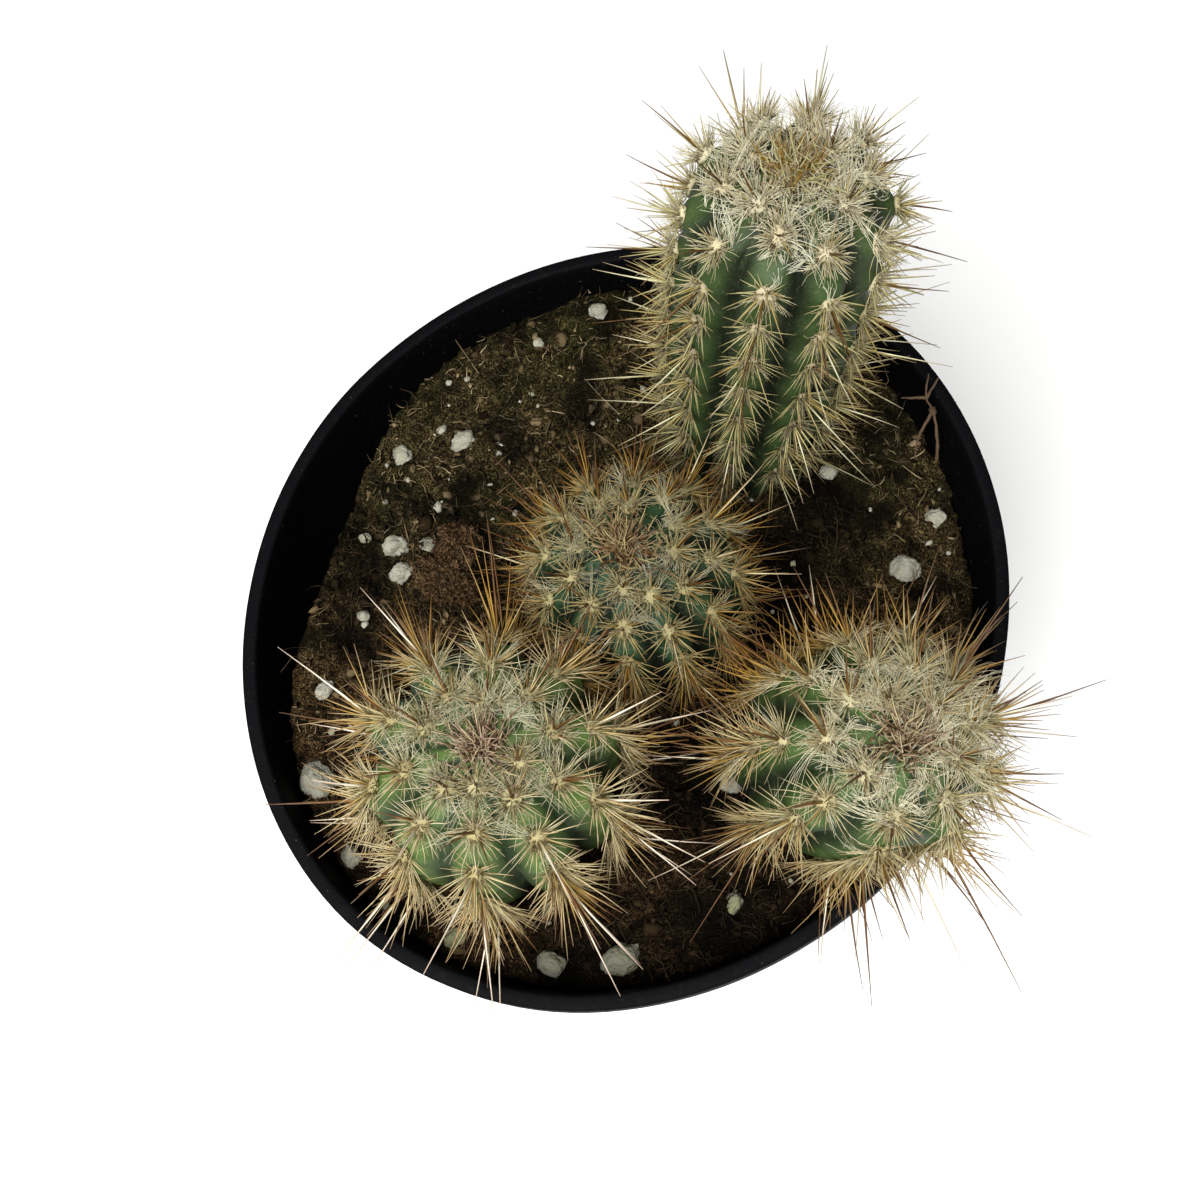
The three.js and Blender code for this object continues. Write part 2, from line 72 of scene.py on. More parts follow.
def placed(name, data):
    """A new object in the scene."""
    made = bpy.data.objects.new(name, data)
    bpy.context.scene.collection.objects.link(made)
    return made


camera = placed("camera", bpy.data.cameras.new("camera"))
camera.location = Vector(CAMERA_PLACE) * MM
camera.rotation_euler = [radians(a) for a in CAMERA_TURN]
camera.data.lens = CAMERA_LENS
camera.data.sensor_width = SENSOR_WIDTH
camera.data.clip_start = 0.01
bpy.context.scene.camera = camera
print("camera stands", round(camera.location.z, 3), "m up")

# %% [markdown]
# The object was photographed on white under a broad soft light. A large area light hangs above,
# a little in front and to the left, so crowns are bright and the depths of the pot are dark. A
# weaker one fills from the front, and a dim world lights the rest. The floor is a plain sheet.

# %% Light
LIGHTS = [("key", (-120, -300, 680), 460, 11.3), ("fill", (60, -460, 330), 300, 0.2)]
LIT_POINT = Vector((0, 0, 90))
WORLD_COLOR = (1.0, 0.96, 0.85, 1)
WORLD_STRENGTH = 0.07
for name, place, width, watts in LIGHTS:
    lamp = bpy.data.lights.new(name, "AREA")
    lamp.size = width * MM
    lamp.energy = watts
    light = placed(name, lamp)
    light.location = Vector(place) * MM
    light.rotation_euler = (LIT_POINT - Vector(place)).to_track_quat("-Z", "Y").to_euler()
world = bpy.data.worlds.new("studio")
world.use_nodes = True
background = world.node_tree.nodes["Background"]
background.inputs["Color"].default_value = WORLD_COLOR
background.inputs["Strength"].default_value = WORLD_STRENGTH
bpy.context.scene.world = world
bpy.context.scene.view_settings.view_transform = "Standard"
print(len(LIGHTS), "lights")


# %% [markdown]
# ## Finishes
#
# Every finish is a Principled shader fed by procedural nodes. A small helper adds a node, sets
# its plain values and links the rest, so that each finish below reads as a short list of steps.

# %% Node helpers
class Finish:
    def __init__(self, name, rough=0.5, shine=0.5):
        self.material = bpy.data.materials.new(name)
        self.material.use_nodes = True
        self.tree = self.material.node_tree
        self.shader = self.tree.nodes["Principled BSDF"]
        self.shader.inputs["Roughness"].default_value = rough
        self.shader.inputs["Specular IOR Level"].default_value = shine

    def add(self, kind, inputs=None, **settings):
        node = self.tree.nodes.new("ShaderNode" + kind)
        for key, value in settings.items():
            setattr(node, key, value)
        for key, value in (inputs or {}).items():
            if isinstance(value, bpy.types.NodeSocket):
                self.tree.links.new(value, node.inputs[key])
            else:
                node.inputs[key].default_value = value
        return node

    def place(self):
        return self.add("TexCoord").outputs["Object"]

    def axis(self, letter):
        return self.add("SeparateXYZ", {"Vector": self.place()}).outputs[letter]

    def attribute(self, name):
        return self.add("Attribute", attribute_name=name).outputs["Fac"]

    def speckle(self, size, detail=3.0, stretch=(1, 1, 1), twist=0.0):
        """Noise with blotches of about that size in millimetres, from 0 to 1; twist curls them."""
        mapped = self.add("Mapping", {"Vector": self.place(), "Scale": stretch}).outputs[0]
        inputs = {"Vector": mapped, "Scale": 1000 / size, "Detail": detail, "Distortion": twist}
        return self.add("TexNoise", inputs).outputs["Fac"]

    def ramp(self, factor, *stops):
        """Blends colours: each stop is (position, (red, green, blue))."""
        node = self.add("ValToRGB", {"Fac": factor})
        while len(node.color_ramp.elements) < len(stops):
            node.color_ramp.elements.new(0.5)
        for element, (position, color) in zip(node.color_ramp.elements, stops):
            element.position = position
            element.color = (*color, 1)
        return node.outputs["Color"]

    def tone_ramp(self, *stops):
        return self.ramp(self.attribute("tone"), *stops)

    def mix(self, factor, first, second, blend="MIX"):
        """From the first colour to the second; a Mix node's colours are its sockets 6 and 7."""
        colors = [(*color, 1) if isinstance(color, tuple) else color for color in (first, second)]
        inputs = dict(zip((0, 6, 7), (factor, *colors)))
        return self.add("Mix", inputs, data_type="RGBA", blend_type=blend).outputs[2]

    def tinted(self, color, tint):
        return self.mix(1.0, color, tint, "MULTIPLY")

    def between(self, factor, low, high, start=0.0, end=1.0):
        """low where the factor is at start, high where it is at end."""
        limits = {"From Min": start, "From Max": end, "To Min": low, "To Max": high}
        return self.add("MapRange", {"Value": factor, **limits}).outputs[0]

    def blotched(self, color, other, size, detail, strength, start, end):
        """The colour with patches of another, where noise of that size is above start."""
        factor = self.between(self.speckle(size, detail), 0.0, strength, start, end)
        return self.mix(factor, color, other)

    def set(self, socket, value):
        self.tree.links.new(value, self.shader.inputs[socket])

    def cover(self, color, grain, depth):
        """Sets the colour, and raises the surface by up to depth millimetres where grain is 1."""
        self.set("Base Color", color)
        node = self.add("Bump", {"Height": grain, "Distance": depth * MM, "Strength": 1.0})
        self.set("Normal", node.outputs[0])


print("node helpers ready")


# %% [markdown]
# ## From a bmesh to a finished piece
#
# A bmesh is a workbench for a mesh. When a piece is done it is scaled to metres, written into a
# mesh object that sits at the origin and told what it rides on, and the solids that it stands for
# are hidden.

# %% Piece helpers
def draw(*seeds):
    """A repeatable random number from 0 to 1, the same one that the solids are drawn with."""
    mixed = sum(seed * factor for seed, factor in zip(seeds, (12.9898, 78.233, 37.719)))
    value = sin(mixed) * 43758.5453
    return value - floor(value)


def pick(low, high, *seeds):
    return low + (high - low) * draw(*seeds)


def clamp(value):
    return min(1, max(0, value))


def around(azimuth, reach=1):
    """(x, y) at that azimuth and distance from the middle."""
    return reach * cos(azimuth), reach * sin(azimuth)


def polar(point):
    return atan2(point.y, point.x), point.xy.length


def shape_of(bm):
    """The points of a small shape that will be copied many times."""
    bm.verts.index_update()
    return np.array([v.co for v in bm.verts])


def finish_mesh(name, mesh, finish, slot, *nodes):
    mesh.materials.append(finish.material)
    mesh.shade_smooth()
    piece = placed(name, mesh)
    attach(piece, "root")
    if nodes:
        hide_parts(*nodes)
    mesh.calc_loop_triangles()
    print(f"{name}: {len(mesh.loop_triangles)} triangles")
    return piece


def mesh_of(name, bm, scale=MM):
    bmesh.ops.scale(bm, vec=Vector((scale, scale, scale)), verts=bm.verts)
    mesh = bpy.data.meshes.new(name)
    bm.to_mesh(mesh)
    bm.free()
    return mesh


def finish_piece(name, bm, finish, slot, *nodes):
    return finish_mesh(name, mesh_of(name, bm), finish, slot, *nodes)


def spun(profile, sides, *layers):
    """A closed shell spun about +Z from points (radius, height, values for the named layers)."""
    bm = bmesh.new()
    made = [bm.verts.layers.float.new(layer) for layer in layers]
    verts = [bm.verts.new((radius, 0, height)) for radius, height, *_ in profile]
    for v, point in zip(verts, profile):
        for layer, value in zip(made, point[2:]):
            v[layer] = value
    edges = [bm.edges.new(pair) for pair in zip(verts, verts[1:])]
    bmesh.ops.spin(bm, geom=verts + edges, axis=(0, 0, 1), cent=(0, 0, 0), angle=TURN,
                   steps=sides, use_merge=True, use_duplicate=False)
    bmesh.ops.remove_doubles(bm, verts=bm.verts, dist=1e-4)
    bmesh.ops.recalc_face_normals(bm, faces=bm.faces)
    return bm


print("piece helpers ready")

# %% [markdown]
# ## Pot
#
# The pot is one thin moulded piece: a tapered wall, a plain lip and a flat floor with drain
# holes. A spin makes such a wall round, and moving its points outwards or inwards by their
# azimuth then squeezes it oval, a little more at the rim than at the floor, as on a soft pot
# that has been handled. The lip's edges are given to a bevel, because a moulded edge is never
# sharp.

# %% Pot sizes and formulas
RIM_TOP = 88
RIM_RADIUS = 51
LIP_WIDTH = 1.9
LIP_DEPTH = 4.2
FOOT_RADIUS = 38
FLAT_RADIUS = 26
WALL = 1.2
FLOOR = 1.6
LIP_ROUNDING = 0.45
WALL_LEVELS = [12, 24, 36, 48, 60, 72]
SQUEEZE = 2.8
SQUEEZE_CORNERS = 0.4
LONG_AXIS = radians(61)
POT_SIDES = 160
DRAIN_HOLES = 6
DRAIN_RADIUS = 3.5
DRAIN_CIRCLE = 27
LIP_BOTTOM = RIM_TOP - LIP_DEPTH
WOBBLE = 0.12


def squeeze(azimuth, height):
    turn = azimuth - LONG_AXIS
    oval = SQUEEZE * cos(2 * turn) + SQUEEZE_CORNERS * cos(4 * turn)
    return oval * (max(0, height) / RIM_TOP) ** 1.3


def wall_radius(height):
    top = RIM_RADIUS - LIP_WIDTH + WALL - 0.4
    return FOOT_RADIUS + (top - FOOT_RADIUS) * (height / LIP_BOTTOM)


def inside_radius(azimuth, height):
    level = min(height, LIP_BOTTOM)
    radius = wall_radius(level) - WALL
    return radius + squeeze(azimuth, level) * radius / wall_radius(level)


print("rim", round(2 * (RIM_RADIUS + SQUEEZE)), "mm along its long axis")

# %% Pot shell
inner = RIM_RADIUS - LIP_WIDTH
pot_profile = [(0, 0), (FLAT_RADIUS, 0), (FOOT_RADIUS - 1, 0), (FOOT_RADIUS, 1)]
pot_profile += [(wall_radius(z), z) for z in WALL_LEVELS]
pot_profile += [(wall_radius(LIP_BOTTOM), LIP_BOTTOM), (RIM_RADIUS, LIP_BOTTOM)]
pot_profile += [(RIM_RADIUS, RIM_TOP), (inner, RIM_TOP)]
pot_profile += [(wall_radius(LIP_BOTTOM) - WALL, LIP_BOTTOM)]
pot_profile += [(wall_radius(z) - WALL, z) for z in reversed(WALL_LEVELS)]
pot_profile += [(wall_radius(FLOOR) - WALL, FLOOR), (0, FLOOR)]
pot = spun(pot_profile, POT_SIDES)
lip_edges = [
    edge for edge in pot.edges
    if all(v.co.z > LIP_BOTTOM - 0.1 and v.co.xy.length > inner - 0.1 for v in edge.verts)
    and abs(edge.verts[0].co.z - edge.verts[1].co.z) < 0.01
    and abs(edge.verts[0].co.xy.length - edge.verts[1].co.xy.length) < 0.01
]
bmesh.ops.bevel(pot, geom=lip_edges, offset=LIP_ROUNDING, offset_type="OFFSET", segments=3,
                profile=0.5, affect="EDGES", material=-1)
for v in pot.verts:
    azimuth, radius = polar(v.co)
    share = radius / wall_radius(min(v.co.z, LIP_BOTTOM))
    grown = radius + squeeze(azimuth, v.co.z) * min(1, share)
    uneven = noise.noise((*around(azimuth, 3), v.co.z * 0.05))
    v.co.x, v.co.y = around(azimuth, grown + WOBBLE * uneven * min(1, v.co.z / 20))
print(len(lip_edges), "lip edges rounded")

# %% [markdown]
# The plastic is black, with a satin face. The top of the lip is painted a lighter bluish grey as
# a painted highlight, and dust and pale specks sit on it. Noise that is squashed flat makes
# streaks that follow the wall.

# %% Pot finish
plastic = Finish("nursery_pot_plastic", shine=0.06)
# Painted highlight: the top of the lip is painted a lighter bluish grey.
on_lip = plastic.between(plastic.axis("Z"), 0.0, 1.0, (LIP_BOTTOM + 2.5) * MM, RIM_TOP * MM)
lip_painted_highlight = plastic.mix(on_lip, (0.0005, 0.0005, 0.0007), (0.0014, 0.0015, 0.002))
dusty = plastic.blotched(lip_painted_highlight, (0.009, 0.0085, 0.0075), 0.7, 6, 0.4, 0.58, 0.75)
specked = plastic.blotched(dusty, (0.05, 0.047, 0.038), 0.5, 1, 1.0, 0.76, 0.8)
plastic.set("Roughness", plastic.between(plastic.speckle(6, 4, (1, 1, 4)), 0.55, 0.8))
plastic.cover(specked, plastic.speckle(0.5, 5, (1, 1, 2)), 0.06)
pot_shell = finish_piece("pot_shell", pot, plastic, "pot_plastic", "pot")

# %% [markdown]
# The drain holes are cut with a Boolean modifier, which is applied at once, because a bevel or
# a spin can't pierce a floor.

# %% Drain holes
drills = bmesh.new()
for i in range(DRAIN_HOLES):
    centre = (*around(TURN * i / DRAIN_HOLES, DRAIN_CIRCLE), 0)
    bmesh.ops.create_cone(drills, cap_ends=True, segments=24, radius1=DRAIN_RADIUS,
                          radius2=DRAIN_RADIUS, depth=4 * FLOOR, matrix=Matrix.Translation(centre))
drill = placed("drills", mesh_of("drills", drills))
cut = pot_shell.modifiers.new("drain", "BOOLEAN")
cut.object = drill
cut.operation = "DIFFERENCE"
cut.solver = "EXACT"
bpy.context.view_layer.update()
drilled = pot_shell.evaluated_get(bpy.context.evaluated_depsgraph_get())
cut_mesh = bpy.data.meshes.new_from_object(drilled)
pot_shell.modifiers.clear()
pot_shell.data = cut_mesh
bpy.data.objects.remove(drill)
print("pot has", len(cut_mesh.polygons), "faces after drilling")

# %% [markdown]
# ## Soil
#
# The soil is a plug of old peat. It has shrunk away from the wall on the left, climbs a little
# towards the back, and its top is crumbly. A spun plug with close rings gives enough points to
# carve: large rolls from the same formula as the solid, then hollows, cracks between the clods
# and grain from noise. A hollow is (x, y, reach, depth), and a patch of painted shade is
# (x, y, reach).

# %% Soil formulas
SOIL_LEVEL = 80.8
SOIL_RISE = 3
SHRINK_GAP = 4.5
SHRINK_AZIMUTH = 165
SHRINK_SPREAD = 26
SHRINK_FROM = 45
SHRINK_OVER = 27
TOUCH_GAP = 0.4
SOIL_SIDES = 300
SOIL_RINGS = 80
SOIL_BOTTOM = FLOOR + 0.3
SIDE_LEVELS = (SOIL_BOTTOM, 20, 44, 58, 66, 72, 76, 78.5)
HOLLOWS = [(-29, -4, 7, 2.2), (-31, -16, 6, 1.6), (9, -24, 6, 2.4), (18, 0, 8, 2.2),
           (24, -44, 9, 1.6), (-35, 5, 5, 1.6), (-36, -4, 4, 1.6), (-42, -4, 5, -1.2)]
# Patches of painted shade: hollows, near the wall, in front under the rim and between plants.
PAINTED_SHADE_PATCHES = [(-4, -48, 18), (16, -40, 14), (19, -5, 12), (21, 7, 13), (27, 15, 7), (9, -25, 9),
       (-31, -16, 8), (-35, 5, 7), (-36, -4, 5), (-18, 4, 4), (-40, 12, 6), (-30, -35, 10)]
CRACK_WIDTH = 0.1
CRACK_DEPTH = 1.0
# How much painted shade darkens the cracks.
CRACK_PAINTED_SHADE = 0.7
LUMP_HEIGHT = 1.1
CRUMB_HEIGHT = 0.85


def soil_top(x, y):
    climb = SOIL_RISE * (max(0, y) / 50) ** 2
    rolls = 0.45 * sin(0.19 * x + 1.3) * sin(0.17 * y + 0.4)
    return SOIL_LEVEL + climb + rolls + 0.3 * sin(0.41 * x - 0.23 * y + 2)


def soil_edge(azimuth, height):
    away = (degrees(azimuth) - SHRINK_AZIMUTH + 540) % 360 - 180
    step = clamp((height - SHRINK_FROM) / SHRINK_OVER)
    loose = step * step * (3 - 2 * step)
    gap = TOUCH_GAP + SHRINK_GAP * exp(-((away / SHRINK_SPREAD) ** 2)) * loose
    return inside_radius(azimuth, height) - gap


def hump(x, y, middle_x, middle_y, reach):
    """1 in the middle, 0 far from it."""
    return exp(-((x - middle_x) ** 2 + (y - middle_y) ** 2) / (reach * reach / 2))


def cracked(x, y):
    """1 along the middle of a crack between two clods, 0 away from it."""
    return max(0, 1 - abs(noise.fractal((x * 0.13, y * 0.13, 11.0), 1.0, 2.0, 3)) / CRACK_WIDTH)


def painted_shade_at(x, y):
    """Painted shade: 1 in the middle of a shaded patch, 0 far from them all, some in the cracks."""
    return min(1, sum(hump(x, y, *patch) for patch in PAINTED_SHADE_PATCHES) + CRACK_PAINTED_SHADE * cracked(x, y))


def crumbled_top(x, y):
    """The soil's surface with its hollows, cracks and crumbs."""
    hollow = sum(depth * hump(x, y, *middle, reach) for *middle, reach, depth in HOLLOWS)
    lumps = noise.fractal((x * 0.16, y * 0.16, 3.0), 1.0, 2.0, 3)
    crumbs = noise.fractal((x * 0.75, y * 0.75, 7.0), 0.7, 2.0, 3)
    relief = LUMP_HEIGHT * lumps + CRUMB_HEIGHT * crumbs
    return soil_top(x, y) - hollow - CRACK_DEPTH * cracked(x, y) + relief


print("soil stands at", SOIL_LEVEL, "mm")

# %% Soil plug
TOP_MARK = 100.0
top_rings = [(share, TOP_MARK) for share in np.linspace(1, 0, SOIL_RINGS)]
side_rings = [(0, SOIL_BOTTOM)] + [(1, z) for z in SIDE_LEVELS]
soil = spun(side_rings + top_rings, SOIL_SIDES, "painted_shade")
painted_shade_layer = soil.verts.layers.float["painted_shade"]
for v in soil.verts:
    azimuth, share = polar(v.co)
    on_top = v.co.z == TOP_MARK
    level = SOIL_LEVEL if on_top else v.co.z
    ragged = 0.5 * noise.noise((*around(azimuth, 9), level * 0.2))
    v.co.x, v.co.y = around(azimuth, share * (soil_edge(azimuth, level) - abs(ragged)))
    if on_top:
        v.co.z = crumbled_top(v.co.x, v.co.y) - 1.2 * max(0, share - 0.96) / 0.04
    # How much painted shade each point gets, for the peat finish.
    v[painted_shade_layer] = painted_shade_at(v.co.x, v.co.y)
print(len(soil.verts), "points in the soil")

# %% [markdown]
# Dry peat is dark brown with paler grains, an olive bloom of algae and almost black pits. Three
# sizes of noise give those, and the finest one also raises the grain. The peat is rustier in
# front and greener behind, and painted nearly black as shade in the cracks and in the patches of
# painted shade.

# %% Soil finish
def damp(finish, color, dark):
    """Blotches of damp, the same in every finish that lies in the soil."""
    return finish.blotched(color, dark, 7, 4, 0.8, 0.48, 0.62)


peat = Finish("peat", rough=0.95, shine=0.04)
peat_grain = peat.speckle(0.55, 5, twist=2.2)
peat_color = peat.ramp(peat_grain, (0.38, (0.001, 0.0007, 0.0003)), (0.52, (0.024, 0.016, 0.0075)),
                       (0.64, (0.12, 0.084, 0.041)))
peat_color = peat.blotched(peat_color, (0.014, 0.0155, 0.004), 14, 3, 0.6, 0.5, 0.66)
behind = peat.between(peat.axis("Y"), 0.0, 1.0, -20 * MM, 15 * MM)
rusty = peat.tinted(peat_color, (1.12, 0.95, 0.84))
peat_color = peat.mix(behind, rusty, peat.tinted(peat_color, (0.95, 1.06, 0.86)))
peat_color = damp(peat, peat_color, (0.0012, 0.0009, 0.0005))
# Painted shade: the peat is painted nearly black in the shaded patches and cracks.
painted_shade = peat.between(peat.attribute("painted_shade"), 0.0, 0.9)
peat.cover(peat.mix(painted_shade, peat_color, (0.001, 0.0008, 0.0004)), peat_grain, 0.5)
finish_piece("soil_plug", soil, peat, "soil", "soil")


# %% [markdown]
# ## Strands: one shape, many copies
#
# Spines, hairs, felt and peat fibres are all slim tapering strands. One small template is made
# with operators: a cone cut across into rings. Thousands of copies of it are then laid out at
# once, each with its own root, direction, length, width, bend and curl. Two attributes go with
# them: `along` runs from 0 at the root to 1 at the tip, and `tone` differs from copy to copy, so
# that one finish can colour them all. The tone also sets where on its turn a curl starts.

# %% Strand helpers
STRAND_SIDES = 3
CURL_STARTS = 40


def unit(vector):
    return vector / np.linalg.norm(vector)


def strand_template(rings, tip):
    bm = bmesh.new()
    bmesh.ops.create_cone(bm, cap_ends=True, segments=STRAND_SIDES, radius1=1, radius2=tip, depth=1)
    bmesh.ops.translate(bm, vec=(0, 0, 0.5), verts=bm.verts)
    for ring in range(1, rings):
        everything = bm.verts[:] + bm.edges[:] + bm.faces[:]
        bmesh.ops.bisect_plane(bm, geom=everything, dist=1e-5, plane_co=(0, 0, ring / rings),
                               plane_no=(0, 0, 1))
    return bm


def copied_mesh(name, template, spots, along, tones):
    """A mesh of moved copies of the template: spots holds every copy's points."""
    template.verts.ensure_lookup_table()
    count = len(template.verts)
    shape_faces = [[v.index for v in face.verts] for face in template.faces]
    faces = [[copy * count + i for i in face] for copy in range(len(spots)) for face in shape_faces]
    mesh = bpy.data.meshes.new(name)
    mesh.from_pydata((spots.reshape(-1, 3) * MM).tolist(), [], faces)
    for key, values in (("along", np.tile(along, len(spots))), ("tone", np.repeat(tones, count))):
        layer = mesh.attributes.new(key, "FLOAT", "POINT")
        layer.data.foreach_set("value", values.astype(np.float32))
    template.free()
    return mesh


def strands(name, template, rows):
    """A row is (root, aim, length, width, bend, tone, curl radius, curl turns) of one strand."""
    shape = shape_of(template)
    columns = (np.array(list(column), float)[:, None] for column in zip(*rows))
    root, aim, length, width, bend, tone, curl, turns = columns
    side = np.cross(aim, UP + 0.01 * aim[..., ::-1] + 0.001)
    side /= np.linalg.norm(side, axis=2)[..., None]
    lift = np.cross(side, aim)
    x, y, z = shape.T
    start = tone * CURL_STARTS
    swing = start + TURN * turns * z
    across = x * width + curl * (np.cos(swing) - np.cos(start))
    above = y * width + curl * (np.sin(swing) - np.sin(start))
    spots = root + aim * (length * z)[..., None] + bend * (z * z)[:, None]
    spots = spots + side * across[..., None] + lift * above[..., None]
    return copied_mesh(name, template, spots, z, tone[:, 0])


def finish_strands(name, rings, tip, rows, finish, slot):
    finish_mesh(name, strands(name, strand_template(rings, tip), rows), finish, slot)


print("strand helpers ready")

# %% [markdown]
# ## What lies in the soil
#
# Crumbs, short fibres, white grains of perlite and a lump of bark lie in the surface. The big
# grains are where the photograph shows them. The small ones are strewn by a seeded draw. Crumbs
# and fibres in a patch of painted shade are painted as dark as the peat there.

# %% Crumbs and fibres
rng = np.random.default_rng(7)
uniform = rng.uniform
CRUMBS = 2800
FIBRES = 5000
FIBRE_LENGTH, LONG_FIBRE, SHORT_SHARE = (0.7, 2.1), 5.0, 0.88
FIBRE_WIDTH = (0.07, 0.19)


def push():
    """A random step in any direction."""
    return rng.normal(size=3)


def strewn(count):
    """Random places on the soil's surface, as (x, y, height)."""
    places = []
    while len(places) < count:
        azimuth, share = uniform(0, TURN), sqrt(uniform(0, 1))
        x, y = around(azimuth, share * (soil_edge(azimuth, SOIL_LEVEL) - 0.8))
        places.append((x, y, crumbled_top(x, y)))
    return np.array(places)


crumb = bmesh.new()
bmesh.ops.create_icosphere(crumb, subdivisions=1, radius=1)
crumb_shape = shape_of(crumb)
crumb_size = 0.22 + 0.5 * rng.power(0.35, CRUMBS)
uneven = 1 + 0.35 * rng.normal(size=(CRUMBS, len(crumb_shape), 1))
stretch = uniform(0.3, 1.8, size=(CRUMBS, 1, 3)) * (1, 1, 0.7)
crumb_places = strewn(CRUMBS)
crumb_spots = crumb_places[:, None] + crumb_shape * uneven * stretch * crumb_size[:, None, None]
# Crumbs in the patches of painted shade are painted darker.
crumb_tones = [uniform() * (1 - 0.8 * painted_shade_at(x, y)) for x, y, _ in crumb_places]
crumb_along = np.zeros(len(crumb_shape))
crumb_mesh = copied_mesh("soil_crumbs", crumb, crumb_spots, crumb_along, np.array(crumb_tones))
chips = Finish("peat_crumbs", rough=0.95, shine=0.04)
chip_color = chips.tone_ramp((0.0, (0.003, 0.002, 0.001)), (0.45, (0.024, 0.0155, 0.007)),
                             (0.8, (0.1, 0.072, 0.036)), (1.0, (0.22, 0.165, 0.09)))
chips.cover(damp(chips, chip_color, (0.0025, 0.0018, 0.001)), chips.speckle(0.4, 4), 0.15)
finish_mesh("soil_crumbs", crumb_mesh, chips, "soil")

fibre_rows = []
for spot in strewn(FIBRES):
    aim = np.array([*around(uniform(0, TURN)), uniform(-0.05, 0.35)])
    longest = FIBRE_LENGTH[1] if uniform() < SHORT_SHARE else LONG_FIBRE
    length = uniform(FIBRE_LENGTH[0], longest)
    bend = push() * (0.4, 0.4, 0.1) * length
    wave, turns = uniform(0.05, 0.3), uniform(0.3, 1.2)
    # Fibres in the patches of painted shade are painted darker.
    shade = uniform() * (1 - 0.75 * painted_shade_at(spot[0], spot[1]))
    width = uniform(*FIBRE_WIDTH)
    fibre_rows.append((spot + (0, 0, 0.25), unit(aim), length, width, bend, shade, wave, turns))
straw = Finish("peat_fibre", rough=0.9, shine=0.06)
straw_color = straw.tone_ramp((0.0, (0.008, 0.005, 0.0025)), (0.45, (0.05, 0.034, 0.016)),
                              (0.8, (0.15, 0.11, 0.056)), (1.0, (0.32, 0.25, 0.145)))
straw.cover(damp(straw, straw_color, (0.004, 0.003, 0.0015)), straw.speckle(0.3), 0.05)
FIBRE_RINGS, FIBRE_TIP = 3, 0.4
finish_strands("soil_fibres", FIBRE_RINGS, FIBRE_TIP, fibre_rows, straw, "soil")

# %% [markdown]
# Perlite is blown glass: a light, white, crumbly grain. A ball is cut back to a dozen flat faces
# that look every way, and noise then wears them rough. Some grains are stained by algae, and
# those in front are painted darker, partly as dirt and partly as the painted shade of the rim. A
# grain is (x, y, size). The bark is made the same way from two bigger, rougher lumps that run
# together, and is covered with fibres.

# %% Perlite
GRAINS = [
    (-23, 25, 3.4), (-31.5, 23, 2.8), (-26, 27, 1.6), (-12.5, 40, 1.8), (-26, 15, 1.6),
    (-36, 10.5, 1.6), (-31.5, 9, 3.4), (-30.5, 5, 3.3), (-27, 9, 2.4), (-35.5, -1, 1.8),
    (-40, -11.5, 2.9), (-40, -23.5, 4.6), (-34.5, -33.5, 2.8), (-21, -43.5, 2.7),
    (-9, -46.5, 3.3), (-0.5, -46, 4.8), (13.5, -23.5, 3.6), (13.5, -39, 2.7),
    (37.5, 5, 3.7), (42, 12.5, 2.8), (28, 19.5, 2.4), (-4, 44.5, 2.6),
]
SMALL_GRAINS = 90
CHIPPED_FACES = 12
BARK = [(-24.5, 3.8, 8.4), (-23, 8.6, 6.4)]
BARK_SEED = 22
BARK_FIBRES = 300


def lumpy(bm, x, y, size, seed, roughness, detail, proud=0.2):
    """A grain with worn flat faces, part sunk in the soil."""
    made = bmesh.ops.create_icosphere(bm, subdivisions=detail, radius=size / 2)["verts"]
    flatten = Vector((1, pick(0.65, 1, seed, 1), pick(0.5, 0.75, seed, 2)))
    turned = Matrix.Rotation(pi * draw(seed, 3), 3, "Z")
    centre = Vector((x, y, soil_top(x, y) + proud * size / 2))
    facings = [Vector([draw(seed, i, n) - 0.5 for n in (1, 2, 3)]) for i in range(CHIPPED_FACES)]
    faces = [(facing.normalized(), pick(0.7, 0.95, seed, i, 4)) for i, facing in enumerate(facings)]
    for v in made:
        way = v.co.normalized()
        cuts = [depth / way.dot(facing) for facing, depth in faces if way.dot(facing) > 0.3]
        chipped = min([1.05] + cuts)
        rough = noise.fractal(way * 1.7 + Vector((0, seed, 0)), 0.9, 2.0, 2)
        pitted = noise.fractal(way * 4.5 + Vector((seed, 0, 0)), 0.6, 2.0, 3)
        grown = 1.08 * chipped + roughness * (0.9 * rough + pitted)
        v.co = centre + turned @ Vector(c * f * grown for c, f in zip(v.co, flatten))


perlite_bm = bmesh.new()
for i, (x, y, size) in enumerate(GRAINS):
    lumpy(perlite_bm, x, y, size, i, 0.12, 4 if size > 2 else 3)
for i, (x, y, _) in enumerate(strewn(SMALL_GRAINS)):
    lumpy(perlite_bm, x, y, pick(0.45, 1.1, i, 5), 40 + i, 0.2, 2)
perlite = Finish("perlite", rough=0.85)
# Grains in front are painted darker: partly dirt, partly the painted shade of the rim.
in_front = perlite.between(perlite.axis("Y"), 1.0, 0.0, -45 * MM, -15 * MM)
front_shade_and_dirt = perlite.mix(in_front, (0.27, 0.26, 0.2), (0.1, 0.1, 0.068))
greened = perlite.blotched(front_shade_and_dirt, (0.15, 0.155, 0.06), 6, 1, 0.6, 0.58, 0.68)
stained = perlite.blotched(greened, (0.06, 0.056, 0.032), 1.6, 6, 0.8, 0.5, 0.72)
perlite.cover(stained, perlite.speckle(0.45, 6), 0.35)
finish_piece("perlite_grains", perlite_bm, perlite, "soil")

